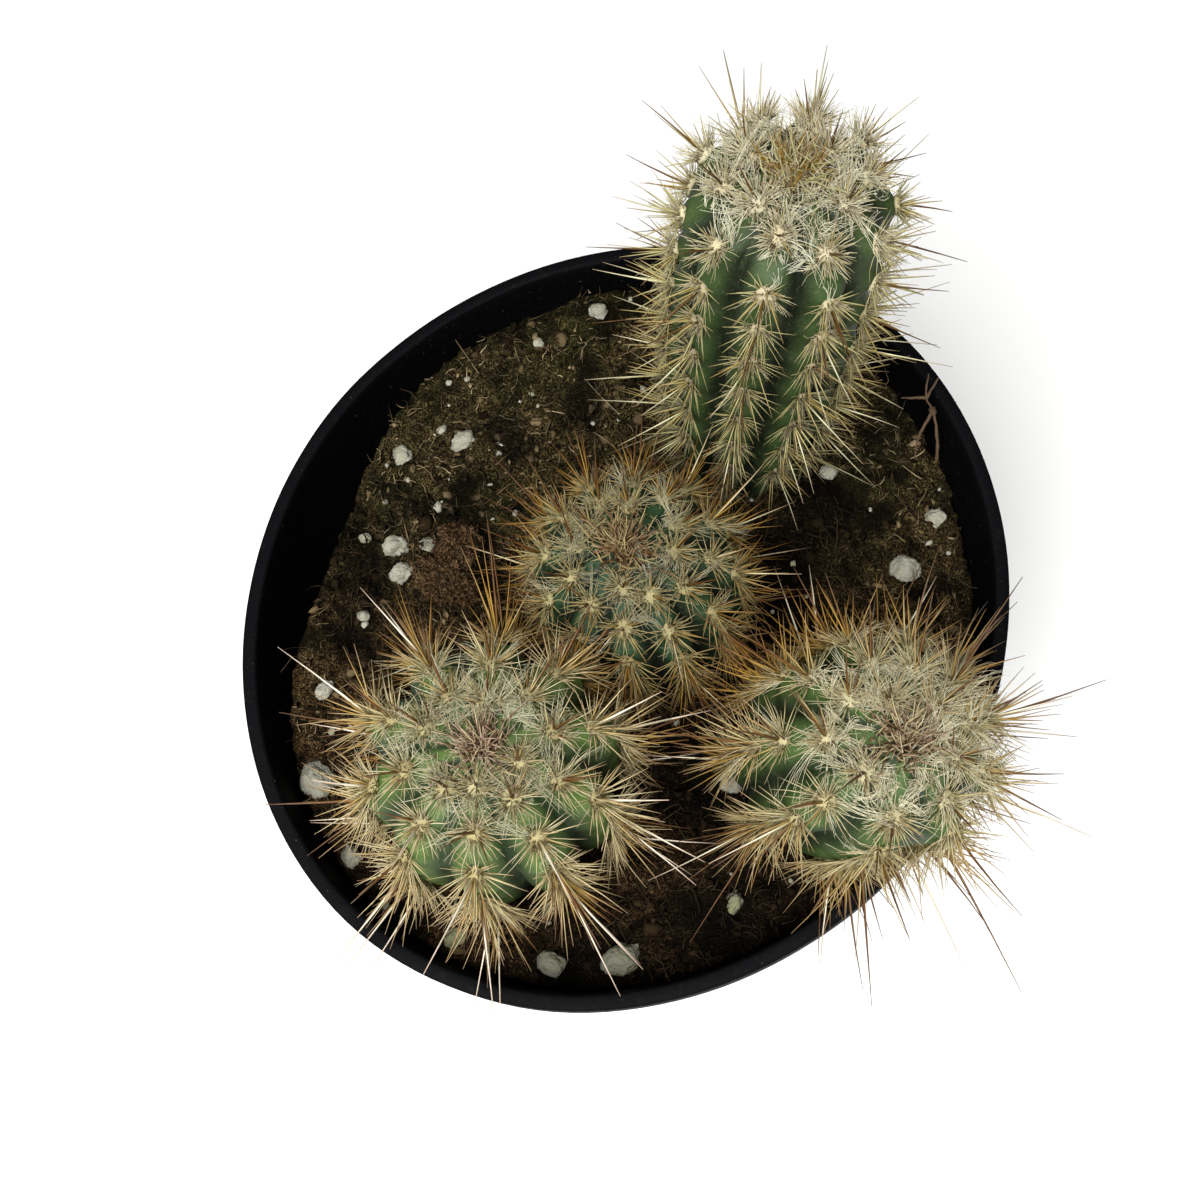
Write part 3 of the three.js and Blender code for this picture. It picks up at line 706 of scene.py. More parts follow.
# %% Bark
bark_bm = bmesh.new()
for i, (x, y, size) in enumerate(BARK):
    lumpy(bark_bm, x, y, size, BARK_SEED + i, 0.3, 5, 0.35)
bark_bm.normal_update()
bark_bm.verts.ensure_lookup_table()
bark_rows = []
for i in rng.integers(len(bark_bm.verts), size=BARK_FIBRES):
    spot, normal = np.array(bark_bm.verts[i].co), np.array(bark_bm.verts[i].normal)
    aim = np.cross(normal, push()) + 0.25 * normal
    length, wave, turns = uniform(0.7, 2.2), uniform(0.05, 0.25), uniform(0.3, 1.0)
    bend = push() * 0.3
    width, shade = uniform(0.06, 0.13), uniform(0.1, 0.75)
    bark_rows.append((spot, unit(aim), length, width, bend, shade, wave, turns))
finish_strands("bark_fibres", FIBRE_RINGS, FIBRE_TIP, bark_rows, straw, "soil")
bark = Finish("bark", rough=0.95, shine=0.04)
bark_grain = bark.speckle(0.5, 6, twist=2.0)
bark_color = bark.ramp(bark_grain, (0.36, (0.003, 0.0016, 0.0007)), (0.52, (0.045, 0.025, 0.011)),
                       (0.66, (0.17, 0.105, 0.052)))
bark.cover(bark_color, bark_grain, 0.5)
finish_piece("bark_lump", bark_bm, bark, "soil")

# %% [markdown]
# A dry, forked twig leans on the inside of the rim, behind the right-hand plant. A bevelled
# curve is the simplest way to a tube that bends and tapers, and it becomes a mesh at the end.
# Noise vectors differ from run to run until a seed is set, so one is.

# %% Dry twig
TWIG_PATHS = [
    [(42.6, 20.6, 82.9), (42.3, 22.3, 85.5), (41.6, 25.6, 87.5), (40.6, 26.8, 89),
     (40.6, 29.1, 91.5)],
    [(40.6, 26.8, 89), (42, 28.7, 91)],
    [(40.6, 26.8, 89), (37.4, 27.4, 88)],
    [(41.6, 25.6, 87.5), (39.8, 22.6, 84.9), (39.6, 20.8, 82.9)],
]
TWIG_RADIUS = 0.2
TWIG_SEED = 1
KNOT_PLACE = Vector((41.6, 25.6, 87.5))
KNOT_RADIUS = 0.55
twig_curve = bpy.data.curves.new("dry_twig", "CURVE")
twig_curve.dimensions = "3D"
twig_curve.bevel_depth = TWIG_RADIUS * MM
twig_curve.bevel_resolution = 2
twig_curve.use_fill_caps = True
for path in TWIG_PATHS:
    spline = twig_curve.splines.new("BEZIER")
    spline.bezier_points.add(len(path) - 1)
    for i, (point, spot) in enumerate(zip(spline.bezier_points, path)):
        point.co = Vector(spot) * MM
        point.handle_left_type = point.handle_right_type = "AUTO"
        point.radius = 1.25 - 0.75 * i / (len(path) - 1)
twig_object = bpy.data.objects.new("dry_twig_curve", twig_curve)
twig_mesh = bpy.data.meshes.new_from_object(twig_object)
bpy.data.objects.remove(twig_object)
twig_bm = bmesh.new()
twig_bm.from_mesh(twig_mesh)
bmesh.ops.scale(twig_bm, vec=Vector((1000, 1000, 1000)), verts=twig_bm.verts)
noise.seed_set(TWIG_SEED)
for v in twig_bm.verts:
    v.co += 0.1 * noise.noise_vector(v.co * 1.3)
knot = bmesh.ops.create_icosphere(twig_bm, subdivisions=3, radius=KNOT_RADIUS)["verts"]
for v in knot:
    v.co = KNOT_PLACE + v.co * (1 + 0.4 * noise.noise(v.co * 2))
wood = Finish("dry_wood", rough=0.85, shine=0.25)
wood_color = wood.mix(wood.speckle(1.2, 5), (0.03, 0.017, 0.009), (0.11, 0.068, 0.038))
wood.cover(wood_color, wood.speckle(0.35, 4), 0.08)
finish_piece("dry_twig", twig_bm, wood, "dry_twig", "dry_sprig")

# %% [markdown]
# ## Cactus bodies
#
# A body is a column with a domed crown and ribs. Its outline is spun round, and each point is
# then moved by a formula: in between the ribs, along with the plant's lean, and out a little
# under each areole, where the rib swells. The formulas and the list of plants are those of the
# solids, so body, areoles and long spines stay where the solids have them.

# %% Plants
PLANTS = [SimpleNamespace(name=name) for name in ("tall", "middle", "left", "right")]
RIB_DEPTH = 0.2
RIB_ROUNDNESS = 0.6
ROOT_DEPTH = 8
ROOT_TAPER = 0.7
SWELLING = 0.5
SWELLING_MIDDLE = 0.6
SWELLING_FADE = 6
FIRST_AREOLE = 4
LAST_AREOLE = 4.5
ROW_LIMIT = 30
OUTLINE_STEPS = 40
WAIST_SHARE = 0.7
DOME_FULLNESS = 0.9
RIB_COLUMNS = 14
LEAN_CURVE = 1.3
TABLE_STEPS = np.linspace(0, 20, 400)


def give(**columns):
    """Hands every plant its own value from each column: tall, middle, left, right."""
    for key, values in columns.items():
        for plant, value in zip(PLANTS, values):
            setattr(plant, key, value)


give(
    foot=((15.8, 24), (3.3, -2), (-14.5, -26.5), (24.2, -22.6)),
    lean=((2.6, -1), (-2.8, 0), (-0.4, -0.5), (5.8, -4.5)),
    height=(61, 26, 30, 33),
    radius=(11, 12.3, 14.5, 12.3),
    waist=(0.8, 0.85, 0.85, 0.85),
    dome=(7, 9, 9, 9),
    spines=(0.7, 0.8, 1, 1),
    turn=(255, 267, 267, 258),
    crowding=((0, 0), (0, 0), (0, 0), (12, 48)),
    pitch=(5.6, 4.9, 5.2, 5.2),
    growth=(0.12, 0, 0, 0),
    offsets=((0.55, 0.9, 0.35, 0.7, 0.1, 0.5, 0.9, 0.3, 0.6, 0.2),
             (0.38, 0.72, 0.08, 0.53, 0.85, 0.15, 0.5, 0.8, 0.35, 0.6, 0.9, 0.02),
             (0.15, 0.65, 0.2, 0.95, 0.92, 0.4, 0.75, 0.65, 0.1, 0.45),
             (0.05, 0.98, 0.5, 0.95, 0.3, 0.03, 0.2, 0.7, 0.85, 0.4)),
)


def outline(plant):
    """(radius, height) from the crown down to the foot."""
    side = plant.height - plant.dome
    share = np.linspace(0, 1, OUTLINE_STEPS + 1)
    risen = np.sin(np.pi / 2 * np.minimum(1, share / WAIST_SHARE))
    swell = plant.waist + (1 - plant.waist) * risen
    angle = np.pi / 2 * share[1:]
    rounded = np.abs(np.cos(angle)) ** DOME_FULLNESS
    flank = np.column_stack([plant.radius * swell, side * share])
    dome = np.column_stack([plant.radius * rounded, side + plant.dome * np.sin(angle)])
    return np.vstack([flank, dome])[::-1]


def areole_distance(plant, step):
    """How far down from the crown an areole has moved, by its place in the row."""
    return plant.pitch * step * step / (step + 0.5) + plant.growth * step * step


for plant in PLANTS:
    plant.line = outline(plant)
    steps = np.linalg.norm(np.diff(plant.line, axis=0), axis=1)
    plant.lengths = np.concatenate([[0], np.cumsum(steps)])
    plant.table = areole_distance(plant, TABLE_STEPS)
    print(plant.name, "measures", round(plant.lengths[-1]), "mm from crown to foot")


# %% Body formulas
def axis_at(plant, height):
    share = (max(0, height) / plant.height) ** LEAN_CURVE
    return [foot + lean * share for foot, lean in zip(plant.foot, plant.lean)]


def body_point(plant, radius, height, turn, swelling=0.0):
    x, y = axis_at(plant, height)
    swing, towards = (radians(a) for a in plant.crowding)
    phase = len(plant.offsets) * (turn - radians(plant.turn)) / 2
    ribbed = 1 - RIB_DEPTH * (1 - abs(cos(phase)) ** RIB_ROUNDNESS)
    reach = radius * ribbed + swelling
    angle = turn - swing * sin(turn - towards)
    return np.array([x + reach * cos(angle), y + reach * sin(angle), SOIL_LEVEL + height])


def on_body(plant, down, turn):
    """The point of the skin that far down from the crown, measured along the outline."""
    radius = np.interp(down, plant.lengths, plant.line[:, 0])
    height = np.interp(down, plant.lengths, plant.line[:, 1])
    return body_point(plant, radius, height, turn)


def nearest_rib(plant, turn):
    """The number of the nearest rib, and how near its crest is: from 0 in a furrow to 1."""
    ribs = len(plant.offsets)
    place = (turn - radians(plant.turn)) * ribs / TURN
    return round(place) % ribs, cos(pi * (place - round(place))) ** 2


def swelling_at(plant, down, turn):
    """The rib swells round each areole and narrows between two of them."""
    rib, crest = nearest_rib(plant, turn)
    step = np.interp(down, plant.table, TABLE_STEPS)
    wave = cos(TURN * (step - plant.offsets[rib])) - SWELLING_MIDDLE
    return SWELLING * wave * crest * min(1, down / SWELLING_FADE)


print("formulas ready for", len(PLANTS), "plants")


# %% [markdown]
# The skin is matt, waxy and green. It is paler on the ribs and painted dark in the furrows as
# shade, mottled with a greyish bloom, and painted darker near the soil as shade. The furrows are
# found with an attribute that says how near a point is to a crest.

# %% Body finish
def foot_shade(finish, darkest, reach):
    """1 high up, down to darkest at the soil: painted shade for the dim depths of the pot."""
    top = (SOIL_LEVEL + reach) * MM
    return finish.between(finish.axis("Z"), darkest, 1.0, SOIL_LEVEL * MM, top)


def skin_finish(plant):
    skin = Finish(plant.green + "_skin", shine=0.25)
    mottled = skin.speckle(3.2, 6)
    # Painted shade: the furrows are painted near black, the crests keep the skin's green.
    color = skin.ramp(skin.attribute("crest"), (0.02, plant.furrow), (0.75, plant.crest))
    color = skin.mix(skin.between(mottled, 0.0, 0.5, 0.45, 0.8), color, plant.bloom)
    color = skin.blotched(color, (0.16, 0.2, 0.09), 0.35, 2, 0.2, 0.55, 0.8)
    skin.set("Roughness", skin.between(mottled, 0.5, 0.72))
    # Painted shade darkens the skin near the soil.
    skin.cover(skin.tinted(color, foot_shade(skin, 0.6, 16)), skin.speckle(0.7, 6), 0.1)
    return skin


# furrow is the painted shade colour in the furrows; crest and bloom are the skin's own.
give(
    green=("dark_green", "bluish_green", "fresh_green", "woolly_green"),
    crest=((0.03, 0.055, 0.014), (0.012, 0.036, 0.011),
           (0.075, 0.128, 0.027), (0.044, 0.084, 0.018)),
    furrow=((0.002, 0.005, 0.001), (0.0015, 0.004, 0.0015),
            (0.009, 0.022, 0.005), (0.004, 0.011, 0.002)),
    bloom=((0.052, 0.072, 0.03), (0.026, 0.042, 0.021),
           (0.092, 0.12, 0.055), (0.064, 0.088, 0.038)),
)
for plant in PLANTS:
    plant.slot, plant.skin = plant.green + "_cactus", skin_finish(plant)
print("skins:", [plant.green for plant in PLANTS])


# %% Bodies
def make_body(plant):
    foot, full = plant.radius * plant.waist, plant.lengths[-1]
    profile = [(*point, down) for point, down in zip(plant.line, plant.lengths)]
    profile += [(foot, -1.5, full), (foot * ROOT_TAPER, 1 - ROOT_DEPTH, full)]
    profile += [(0, -ROOT_DEPTH, full)]
    bm = spun(profile, len(plant.offsets) * RIB_COLUMNS, "down", "crest")
    down_layer, crest_layer = (bm.verts.layers.float[name] for name in ("down", "crest"))
    for v in bm.verts:
        turn, radius = polar(v.co)
        v[crest_layer] = nearest_rib(plant, turn)[1]
        v.co = body_point(plant, radius, v.co.z, turn, swelling_at(plant, v[down_layer], turn))
    finish_piece(plant.name + "_body", bm, plant.skin, plant.slot, "cactus_" + plant.name)


for plant in PLANTS:
    make_body(plant)


# %% [markdown]
# ## Areoles
#
# An areole is the felted cushion that a cactus carries its spines on. Each one needs a small
# frame of its own: where it sits, which way is out of the body, which way is up the rib and
# which way is sideways. These come from neighbouring points of the body.

# %% Areole frames
def areole_frame(plant, down, turn, seed):
    spot = on_body(plant, down, turn)
    rise = unit(on_body(plant, down - 0.4, turn) - on_body(plant, down + 0.4, turn))
    side = unit(on_body(plant, down, turn + 0.03) - on_body(plant, down, turn - 0.03))
    out = unit(np.cross(side, rise))
    spot = spot + 0.3 * out
    return SimpleNamespace(spot=spot, rise=rise, side=side, out=out, down=down, seed=seed)


def areoles_of(index, plant):
    found = []
    for rib, offset in enumerate(plant.offsets):
        turn = radians(plant.turn) + TURN * rib / len(plant.offsets)
        for step in range(ROW_LIMIT):
            down = areole_distance(plant, step + offset)
            if FIRST_AREOLE < down < plant.lengths[-1] - LAST_AREOLE:
                found.append(areole_frame(plant, down, turn, index * 1000 + rib * 50 + step))
    return found


def along_skin(areole, angle):
    """A direction along the skin: 0 is across the rib, and a quarter turn is up it."""
    return areole.side * cos(angle) + areole.rise * sin(angle)


for index, plant in enumerate(PLANTS):
    plant.areoles = areoles_of(index, plant)
    print(plant.name, "has", len(plant.areoles), "areoles")


# %% [markdown]
# A spine has to stay out of the soil, the pot and the other plants. It is tried at a few points
# along its length, and where one is blocked the spine is bent upwards a little and tried again,
# as a growing spine would be pushed.

# %% Clearance
RIM_GAP, WALL_GAP, SOIL_GAP, PLANT_GAP = 0.4, 0.5, 0.7, 0.3
TESTED_SHARES = (0.35, 0.7, 1)
STEERING_TRIES = 14
STEERING_LIFT = 0.16
STEERING_LOSS = 0.96


def blocked(point, plant):
    x, y, z = point
    azimuth, reach = atan2(y, x), hypot(x, y)
    if z < RIM_TOP + RIM_GAP and reach > inside_radius(azimuth, z) - WALL_GAP:
        return True
    if z < soil_top(x, y) + SOIL_GAP:
        return True
    for other in PLANTS:
        height = z - SOIL_LEVEL
        if other is not plant and height < other.height:
            ox, oy = axis_at(other, height)
            dome = clamp((other.height - height) / other.dome)
            if hypot(x - ox, y - oy) < other.radius * sqrt(dome) + PLANT_GAP:
                return True
    return False


def steered(root, aim, length, plant):
    """The first direction and length, bent upwards step by step, that keeps the spine clear."""
    for _ in range(STEERING_TRIES):
        if not any(blocked(root + aim * length * share, plant) for share in TESTED_SHARES):
            break
        aim = unit(aim + STEERING_LIFT * UP)
        length *= STEERING_LOSS
    return aim, length


print("clearance rule ready")


# %% [markdown]
# ## Spines
#
# An areole carries a star of fine radial spines that lie close to the skin, a few longer ones
# that stand out, and one stout central with companions at its side. Young spines near the crown
# are short, white and soft, and there are fewer. The stars at the front are cream, those on the
# far side golden: partly the spines' own colour, and partly painted shade and back light. The
# centrals are dark brown when young and weather to silver. A length or a width below is a range
# in millimetres, and a lift is one in degrees.

# %% Spine sizes
give(
    radials=(18, 21, 30, 28),
    radial_width=(0.1, 0.12, 0.13, 0.12),
    central_width=(0.19, 0.2, 0.25, 0.23),
    old_centrals=(0.9, 0.4, 0.6, 0.4),
    brown_mediums=(0.04, 0.15, 0.12, 0.15),
    golden=(0.05, 0.45, 0.25, 0.35),
)
RADIAL_LENGTH = (3.2, 6.2)
RADIAL_LIFT = (8, 45)
MEDIUMS = 5
COMPANIONS = 3
MEDIUM_LENGTH = (4.8, 9.0)
MEDIUM_WIDTH = (0.14, 0.2)
CENTRAL_LENGTH = (9, 16)
COMPANION_SHARE = (0.4, 0.7)
COMPANION_WIDTH = (0.14, 0.19)
CENTRAL_TILT = 0.28
YOUNGEST = 0.45
FULL_GROWN = 18
SOFT_UNTIL = 15
BROWN_TONE, SILVER_TONE = 3.0, 4.0


def spine_row(plant, root, aim, length, width, tone, soft=0.0):
    aim, length = steered(root, aim, length, plant)
    sway = push() * (0.035 + 0.15 * soft) * length
    curl, turns = 0.5 * soft * uniform(), uniform(0.4, 1.0)
    return (root - 0.4 * aim, aim, length + 0.4, width * (1 - 0.35 * soft), sway, tone, curl, turns)


print("centrals up to", CENTRAL_LENGTH[1], "mm")


# %% Spine rows
def horn_tone(plant, golden, least):
    """Brown for some of the longer spines, cream to golden for the others."""
    if uniform() < plant.brown_mediums:
        return BROWN_TONE
    return clamp(golden + uniform(least, 0.6))


def areole_spines(plant, areole):
    spot, seed, out = areole.spot, areole.seed, areole.out
    age = plant.spines * (YOUNGEST + (1 - YOUNGEST) * min(1, areole.down / FULL_GROWN))
    low = min(1, areole.down / plant.lengths[-1] * 1.6)
    # Stars on the far side are painted more golden: painted shade and back light.
    golden = plant.golden * low + 0.85 * max(0, out[1]) * low + 0.3 * (draw(seed, 7) - 0.5) * low
    soft = max(0, 1 - areole.down / SOFT_UNTIL)
    radials = round(plant.radials * (1 - 0.45 * soft))
    rows = []
    for i in range(radials):
        angle = TURN * (i + uniform(-0.4, 0.4)) / radials
        lift = radians(uniform(*RADIAL_LIFT))
        flat = along_skin(areole, angle)
        length = uniform(*RADIAL_LENGTH) * age * (1 - 0.2 * sin(angle))
        aim = unit(flat * cos(lift) + out * sin(lift))
        tone = clamp(golden + uniform(-0.25, 0.25)) - soft
        width = plant.radial_width * uniform(0.8, 1.2)
        rows.append(spine_row(plant, spot + 0.95 * flat, aim, length, width, tone, soft))
    mediums = round(MEDIUMS * (1 - 0.6 * soft))
    for i in range(mediums):
        angle = TURN * (i + uniform(0, 1)) / mediums
        flat = along_skin(areole, angle)
        aim = unit(out + uniform(0.3, 0.9) * flat)
        length = uniform(*MEDIUM_LENGTH) * age
        tone = horn_tone(plant, golden, -0.1)
        width = uniform(*MEDIUM_WIDTH)
        rows.append(spine_row(plant, spot + 0.6 * flat, aim, length, width, tone))
    tilt = np.array([draw(seed, n) - 0.5 for n in (1, 2, 3)])
    aim = unit(out + 2 * CENTRAL_TILT * tilt)
    weathered = uniform() < plant.old_centrals * low
    tone = SILVER_TONE if weathered else BROWN_TONE
    length = pick(*CENTRAL_LENGTH, seed) * age
    rows.append(spine_row(plant, spot + 0.3 * out, aim, length, plant.central_width, tone))
    for _ in range(round(COMPANIONS * (1 - 0.7 * soft))):
        beside = unit(aim + 0.28 * push())
        tone = horn_tone(plant, golden, 0.0)
        share = uniform(*COMPANION_SHARE) + 0.2 * max(0, out[1])
        width = uniform(*COMPANION_WIDTH)
        rows.append(spine_row(plant, spot + 0.4 * beside, beside, share * length, width, tone))
    return rows


print("spine rules ready")


# %% Crown tuft rows
TUFT = 230
TUFT_RADIUS = 4.4
TUFT_SPREAD = 2.1
TUFT_LENGTH = (1.8, 5.0)
TUFT_WIDTH = (0.12, 0.24)
give(pale_tuft=(0.5, 0.3, 0.2, 0.25), tuft_tone=(1.1, 2.1, 2.1, 2.1))


def crown_tuft(plant):
    """Young spines crowd together over the growing point."""
    rows = []
    for _ in range(TUFT):
        turn, down = uniform(0, TURN), min(1.6 * TUFT_RADIUS, abs(TUFT_SPREAD * rng.normal()))
        root = on_body(plant, down, turn)
        lean = np.array([*around(turn), 0]) * uniform(-0.5, 1.3)
        aim = unit(UP + lean + 0.35 * push())
        length = uniform(*TUFT_LENGTH)
        behind = sin(turn) * down / TUFT_RADIUS
        tone = max(0, plant.tuft_tone + uniform(-0.5, 0.5) - 0.4 * behind)
        tone = 0.5 * uniform() - 0.4 if uniform() < plant.pale_tuft else tone
        bend, curl = push() * 0.5, uniform(0, 0.4)
        width, turns = uniform(*TUFT_WIDTH), uniform(0.3, 0.8)
        rows.append((root - 0.3 * aim, aim, length, width, bend, tone, curl, turns))
    return rows


print(TUFT, "young spines to a crown")


# %% [markdown]
# The colour of a spine runs along it. `tone` chooses the kind: below 0 it is white and young,
# from 0 to 1 a cream spine turns golden, near 2 it is the mauve brown of the crown's tuft, at 3 a
# dark brown central and at 4 a silver one with a rosy tip. Each plant's horn has its own tint,
# and the spines near the soil are painted darker as shade.

# %% Spine finish
HORN_COLORS = [
    ((0.58, 0.51, 0.3), 0.6, (0.53, 0.45, 0.26), (0.32, 0.23, 0.13)),
    ((0.46, 0.31, 0.075), 0.45, (0.36, 0.2, 0.034), (0.15, 0.066, 0.02)),
    ((0.18, 0.115, 0.065), 0.5, (0.16, 0.09, 0.052), (0.42, 0.31, 0.23)),
    ((0.34, 0.2, 0.06), 0.3, (0.13, 0.055, 0.016), (0.09, 0.045, 0.026)),
    ((0.6, 0.48, 0.25), 0.4, (0.8, 0.74, 0.6), (0.45, 0.32, 0.25)),
]
# horn_foot is how dark the painted shade near the soil makes each plant's spines.
give(
    horn_tint=((0.66, 0.7, 0.56), (0.64, 0.59, 0.44), (0.94, 0.94, 0.93), (0.82, 0.82, 0.76)),
    horn_foot=(0.26, 0.55, 0.9, 0.9),
)


def spine_finish(plant):
    horn = Finish(plant.name + "_spines_horn", rough=0.45, shine=0.15)
    along, tone = horn.attribute("along"), horn.attribute("tone")
    cream, gold, mauve, brown, silver = (
        horn.ramp(along, (0.0, root), (middle, halfway), (1.0, tip))
        for root, middle, halfway, tip in HORN_COLORS
    )
    color = horn.mix(horn.between(tone, 1.0, 0.0, -0.8, 0.0), cream, (0.6, 0.57, 0.42))
    color = horn.mix(horn.between(tone, 0.0, 1.0, 0.1, 0.9), color, gold)
    for step, kind in ((1.25, mauve), (2.7, brown), (3.5, silver)):
        color = horn.mix(horn.between(tone, 0.0, 1.0, step, step + 0.25), color, kind)
    color = horn.blotched(color, (0.34, 0.24, 0.085), 1.5, 3, 0.3, 0.45, 0.8)
    color = horn.tinted(color, plant.horn_tint)
    # Painted shade darkens the spines near the soil.
    color = horn.tinted(color, foot_shade(horn, plant.horn_foot, 20))
    horn.cover(color, horn.speckle(0.25, 2, (1, 1, 0.3)), 0.02)
    return horn


print(len(HORN_COLORS), "kinds of horn")


# %% Spines
SPINE_RINGS, SPINE_TIP = 3, 0.18
for plant in PLANTS:
    spine_rows = [row for areole in plant.areoles for row in areole_spines(plant, areole)]
    spine_rows += crown_tuft(plant)
    horn = spine_finish(plant)
    finish_strands(plant.name + "_spines", SPINE_RINGS, SPINE_TIP, spine_rows, horn, plant.slot)

# %% [markdown]
# ## Felt and wool
#
# The cushion under each star is a pad of cream felt. Here it is a small flattened ball with a
# ruff of short stiff hairs, longer on a young cushion. More hairs stand round the growing point.

# %% Felt pads
PAD_RADIUS = 1.3
FELT_LENGTH = (1.0, 2.3)
FELT_WIDTH = 0.068
CROWN_FELT_LENGTH = (1.2, 2.8)
CROWN_FELT_WIDTH = 0.07
FELT_RINGS, FELT_TIP = 2, 0.3
YOUNG_UNTIL = 15
OLD_FROM = 45
give(
    felt_hairs=(48, 32, 44, 44),
    fluff=(2.0, 1.3, 1.2, 1.8),
    crown_felt=(560, 120, 60, 80),
    felt_tint=((0.98, 1, 1.12), (0.6, 0.6, 0.52), (0.76, 0.75, 0.66), (0.86, 0.86, 0.82)),
)


def felt_finish(plant):
    felt = Finish(plant.name + "_areole_felt", rough=0.95, shine=0.1)
    tone = felt.tone_ramp((0.0, (0.56, 0.52, 0.35)), (0.3, (0.47, 0.41, 0.24)),
                          (0.6, (0.36, 0.3, 0.155)), (1.0, (0.13, 0.11, 0.055)))
    color = felt.blotched(tone, (0.34, 0.29, 0.16), 0.6, 4, 0.7, 0.35, 0.75)
    felt.cover(felt.tinted(color, plant.felt_tint), felt.speckle(0.25, 3), 0.08)
    return felt


def make_pads(plant):
    pad = bmesh.new()
    bmesh.ops.create_uvsphere(pad, u_segments=8, v_segments=5, radius=PAD_RADIUS)
    shape, spots, tones = shape_of(pad), [], []
    for areole in plant.areoles:
        aged = min(1, areole.down / OLD_FROM)
        tones.append(aged + uniform(0, 0.3))
        lumps = shape * (1 + 0.12 * rng.normal(size=(len(shape), 1))) * (1 - 0.45 * aged)
        flattened = np.array([areole.side, 1.1 * areole.rise, 0.5 * areole.out])
        spots.append(areole.spot + lumps @ flattened)
    name = plant.name + "_pads"
    mesh = copied_mesh(name, pad, np.array(spots), np.zeros(len(shape)), np.array(tones))
    finish_mesh(name, mesh, plant.felt, plant.slot)


print("pads ready")


# %% Felt hairs
def make_felt(plant):
    rows = []
    for areole in plant.areoles:
        young, aged = max(0, 1 - areole.down / YOUNG_UNTIL), min(1, areole.down / OLD_FROM)
        width = FELT_WIDTH + 0.015 * young
        for _ in range(round(plant.felt_hairs * (1 + plant.fluff * young))):
            flat = along_skin(areole, uniform(0, TURN))
            aim = unit(flat + uniform(0.2, 2.2) * areole.out)
            root = areole.spot + uniform(0.1, 1.3) * flat + 0.2 * areole.out
            length = uniform(*FELT_LENGTH) * (1 + 0.65 * young)
            bend, tone = push() * 0.3, aged + uniform(0, 0.4)
            rows.append((root, aim, length, width, bend, tone, 0.1, 0.6))
    for _ in range(plant.crown_felt):
        turn, down = uniform(0, TURN), TUFT_RADIUS * uniform(0.2, 1.7)
        aim = unit(UP + 0.6 * push())
        bend, length = push() * 0.5, uniform(*CROWN_FELT_LENGTH)
        root, tone = on_body(plant, down, turn), uniform(0, 0.5)
        rows.append((root, aim, length, CROWN_FELT_WIDTH, bend, tone, 0.2, 0.7))
    finish_strands(plant.name + "_felt", FELT_RINGS, FELT_TIP, rows, plant.felt, plant.slot)


for plant in PLANTS:
    plant.felt = felt_finish(plant)
    make_pads(plant)
    make_felt(plant)

# %% [markdown]
# Long curly hairs grow out of the young cushions too, and mat together round the crown. They
# come in locks: a few hairs that share their direction and curl. Each hair is a strand that
# winds like a loose spring.

# %% Wool
LOCK_HAIRS = 8
WOOL_FULL = 1.4
WOOL_FADE = 14
WOOL_LENGTH = (2.5, 6.0)
WOOL_WIDTH = 0.045
CROWN_RING = (3.5, 10)
CROWN_WOOL_LENGTH = (2.0, 4.5)
CROWN_WOOL_WIDTH = 0.048
WOOL_RINGS, WOOL_TIP = 5, 0.35
give(
    wool_locks=(1.6, 1.8, 3, 4.5),
    crown_locks=(90, 30, 110, 135),
    crown_spread=(400, 400, 75, 400),
    wool_tint=((0.94, 0.97, 1.02), (0.56, 0.57, 0.55), (0.76, 0.79, 0.74), (1, 1, 1)),
)


def wool_finish(plant):
    fleece = Finish(plant.name + "_white_wool", rough=0.85, shine=0.15)
    tone = fleece.tone_ramp((0.0, (0.78, 0.75, 0.55)), (0.7, (0.6, 0.56, 0.38)),
                            (1.0, (0.36, 0.31, 0.19)))
    color = fleece.mix(fleece.speckle(3), tone, (0.62, 0.58, 0.4))
    fleece.cover(fleece.tinted(color, plant.wool_tint), fleece.speckle(0.3), 0.02)
    return fleece


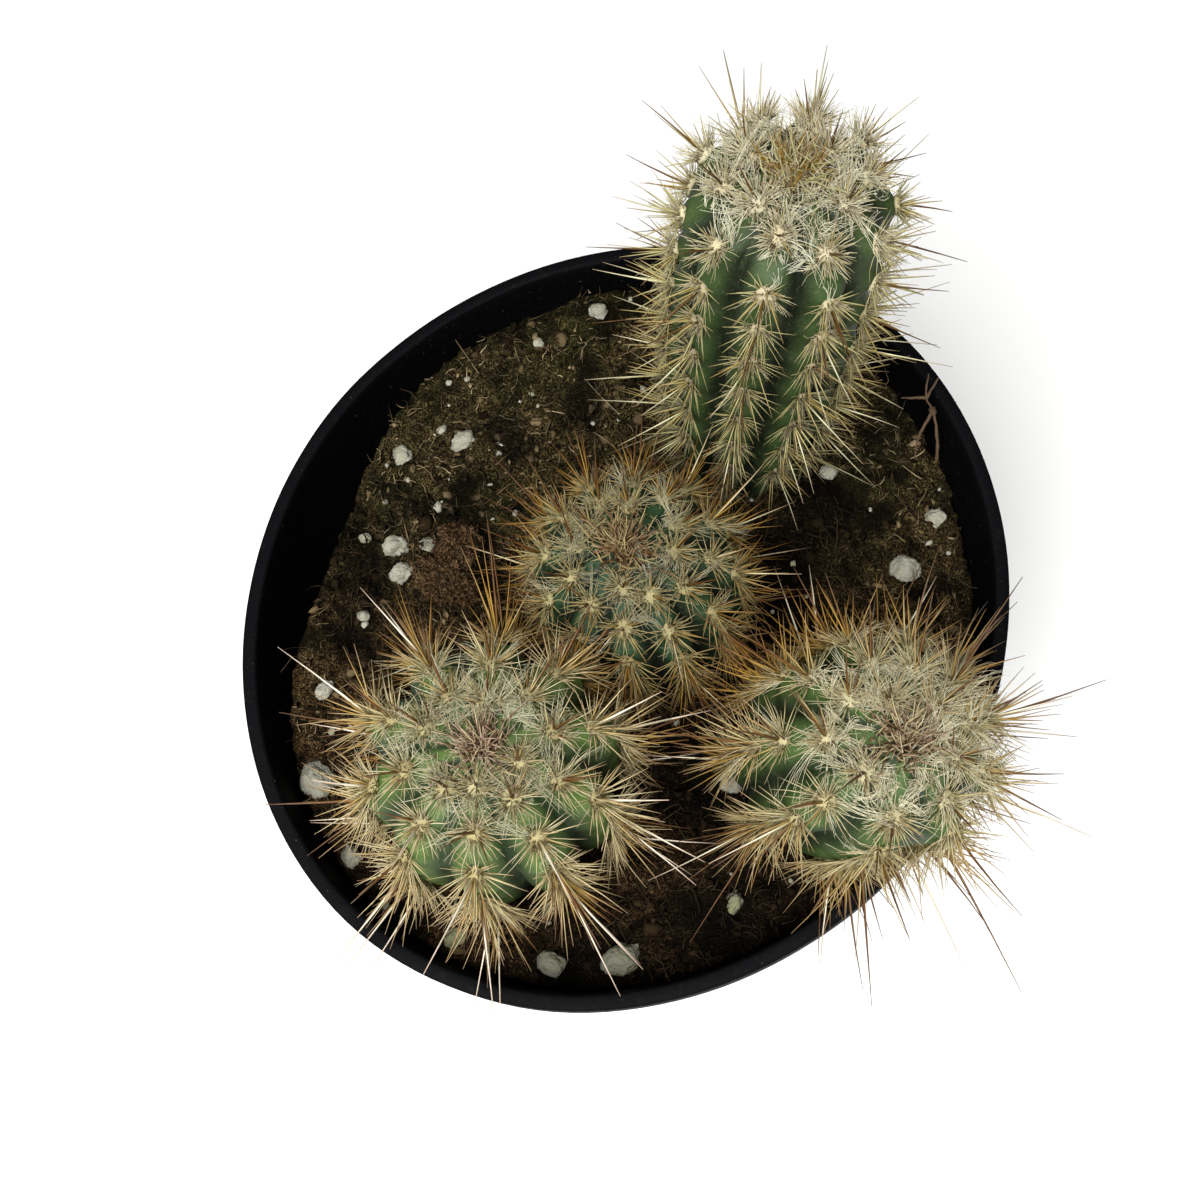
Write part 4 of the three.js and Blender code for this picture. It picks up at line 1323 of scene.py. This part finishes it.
def lock_of_wool(root, aim, length, bend, width):
    """A few hairs that share their direction and their curl, and spread a little."""
    curl, turns, tone = uniform(0.3, 1.1), uniform(0.2, 0.65), uniform(0.0, 0.85)
    rows = []
    for _ in range(LOCK_HAIRS):
        hair_aim = unit(aim + 0.11 * push())
        hair_bend = bend + 0.06 * length * push()
        hair_length = length * uniform(0.6, 1.1)
        hair_tone = tone + uniform(-0.02, 0.02)
        hair_root = root + 0.13 * push()
        rows.append((hair_root, hair_aim, hair_length, width, hair_bend, hair_tone, curl, turns))
    return rows


def make_wool(plant):
    rows = []
    for areole in plant.areoles:
        near_crown = max(0, WOOL_FULL - areole.down / WOOL_FADE)
        for _ in range(round(plant.wool_locks * near_crown)):
            flat = along_skin(areole, uniform(0, TURN))
            aim = unit(flat + uniform(0.1, 0.6) * areole.out)
            length = uniform(*WOOL_LENGTH)
            bend = -0.2 * length * areole.out + 0.2 * length * push()
            root = areole.spot + 0.6 * flat
            aim, length = steered(root, aim, length, plant)
            rows += lock_of_wool(root, aim, length, bend, WOOL_WIDTH)
    for _ in range(plant.crown_locks):
        turn, down = radians(rng.normal(90, plant.crown_spread)), uniform(*CROWN_RING)
        away = np.array([*around(turn), 0])
        aim = unit(0.5 * UP + push() * 0.6 + 0.2 * away)
        length, bend = uniform(*CROWN_WOOL_LENGTH), push() * 0.6
        rows += lock_of_wool(on_body(plant, down, turn), aim, length, bend, CROWN_WOOL_WIDTH)
    fleece = wool_finish(plant)
    finish_strands(plant.name + "_wool", WOOL_RINGS, WOOL_TIP, rows, fleece, plant.slot)


for plant in PLANTS:
    make_wool(plant)

# %% [markdown]
# ## Floor
#
# The floor is a plain pale sheet and is no part of the object.

# %% Floor
FLOOR_REACH = 1.5
FLOOR_DROP = -0.0002
FLOOR_COLOR = (0.9, 0.9, 0.89, 1)
floor_bm = bmesh.new()
bmesh.ops.create_grid(floor_bm, x_segments=1, y_segments=1, size=FLOOR_REACH)
sheet = placed("floor", mesh_of("floor", floor_bm, 1))
sheet.location.z = FLOOR_DROP
paper = Finish("pale_floor", rough=0.9)
paper.shader.inputs["Base Color"].default_value = FLOOR_COLOR
sheet.data.materials.append(paper.material)

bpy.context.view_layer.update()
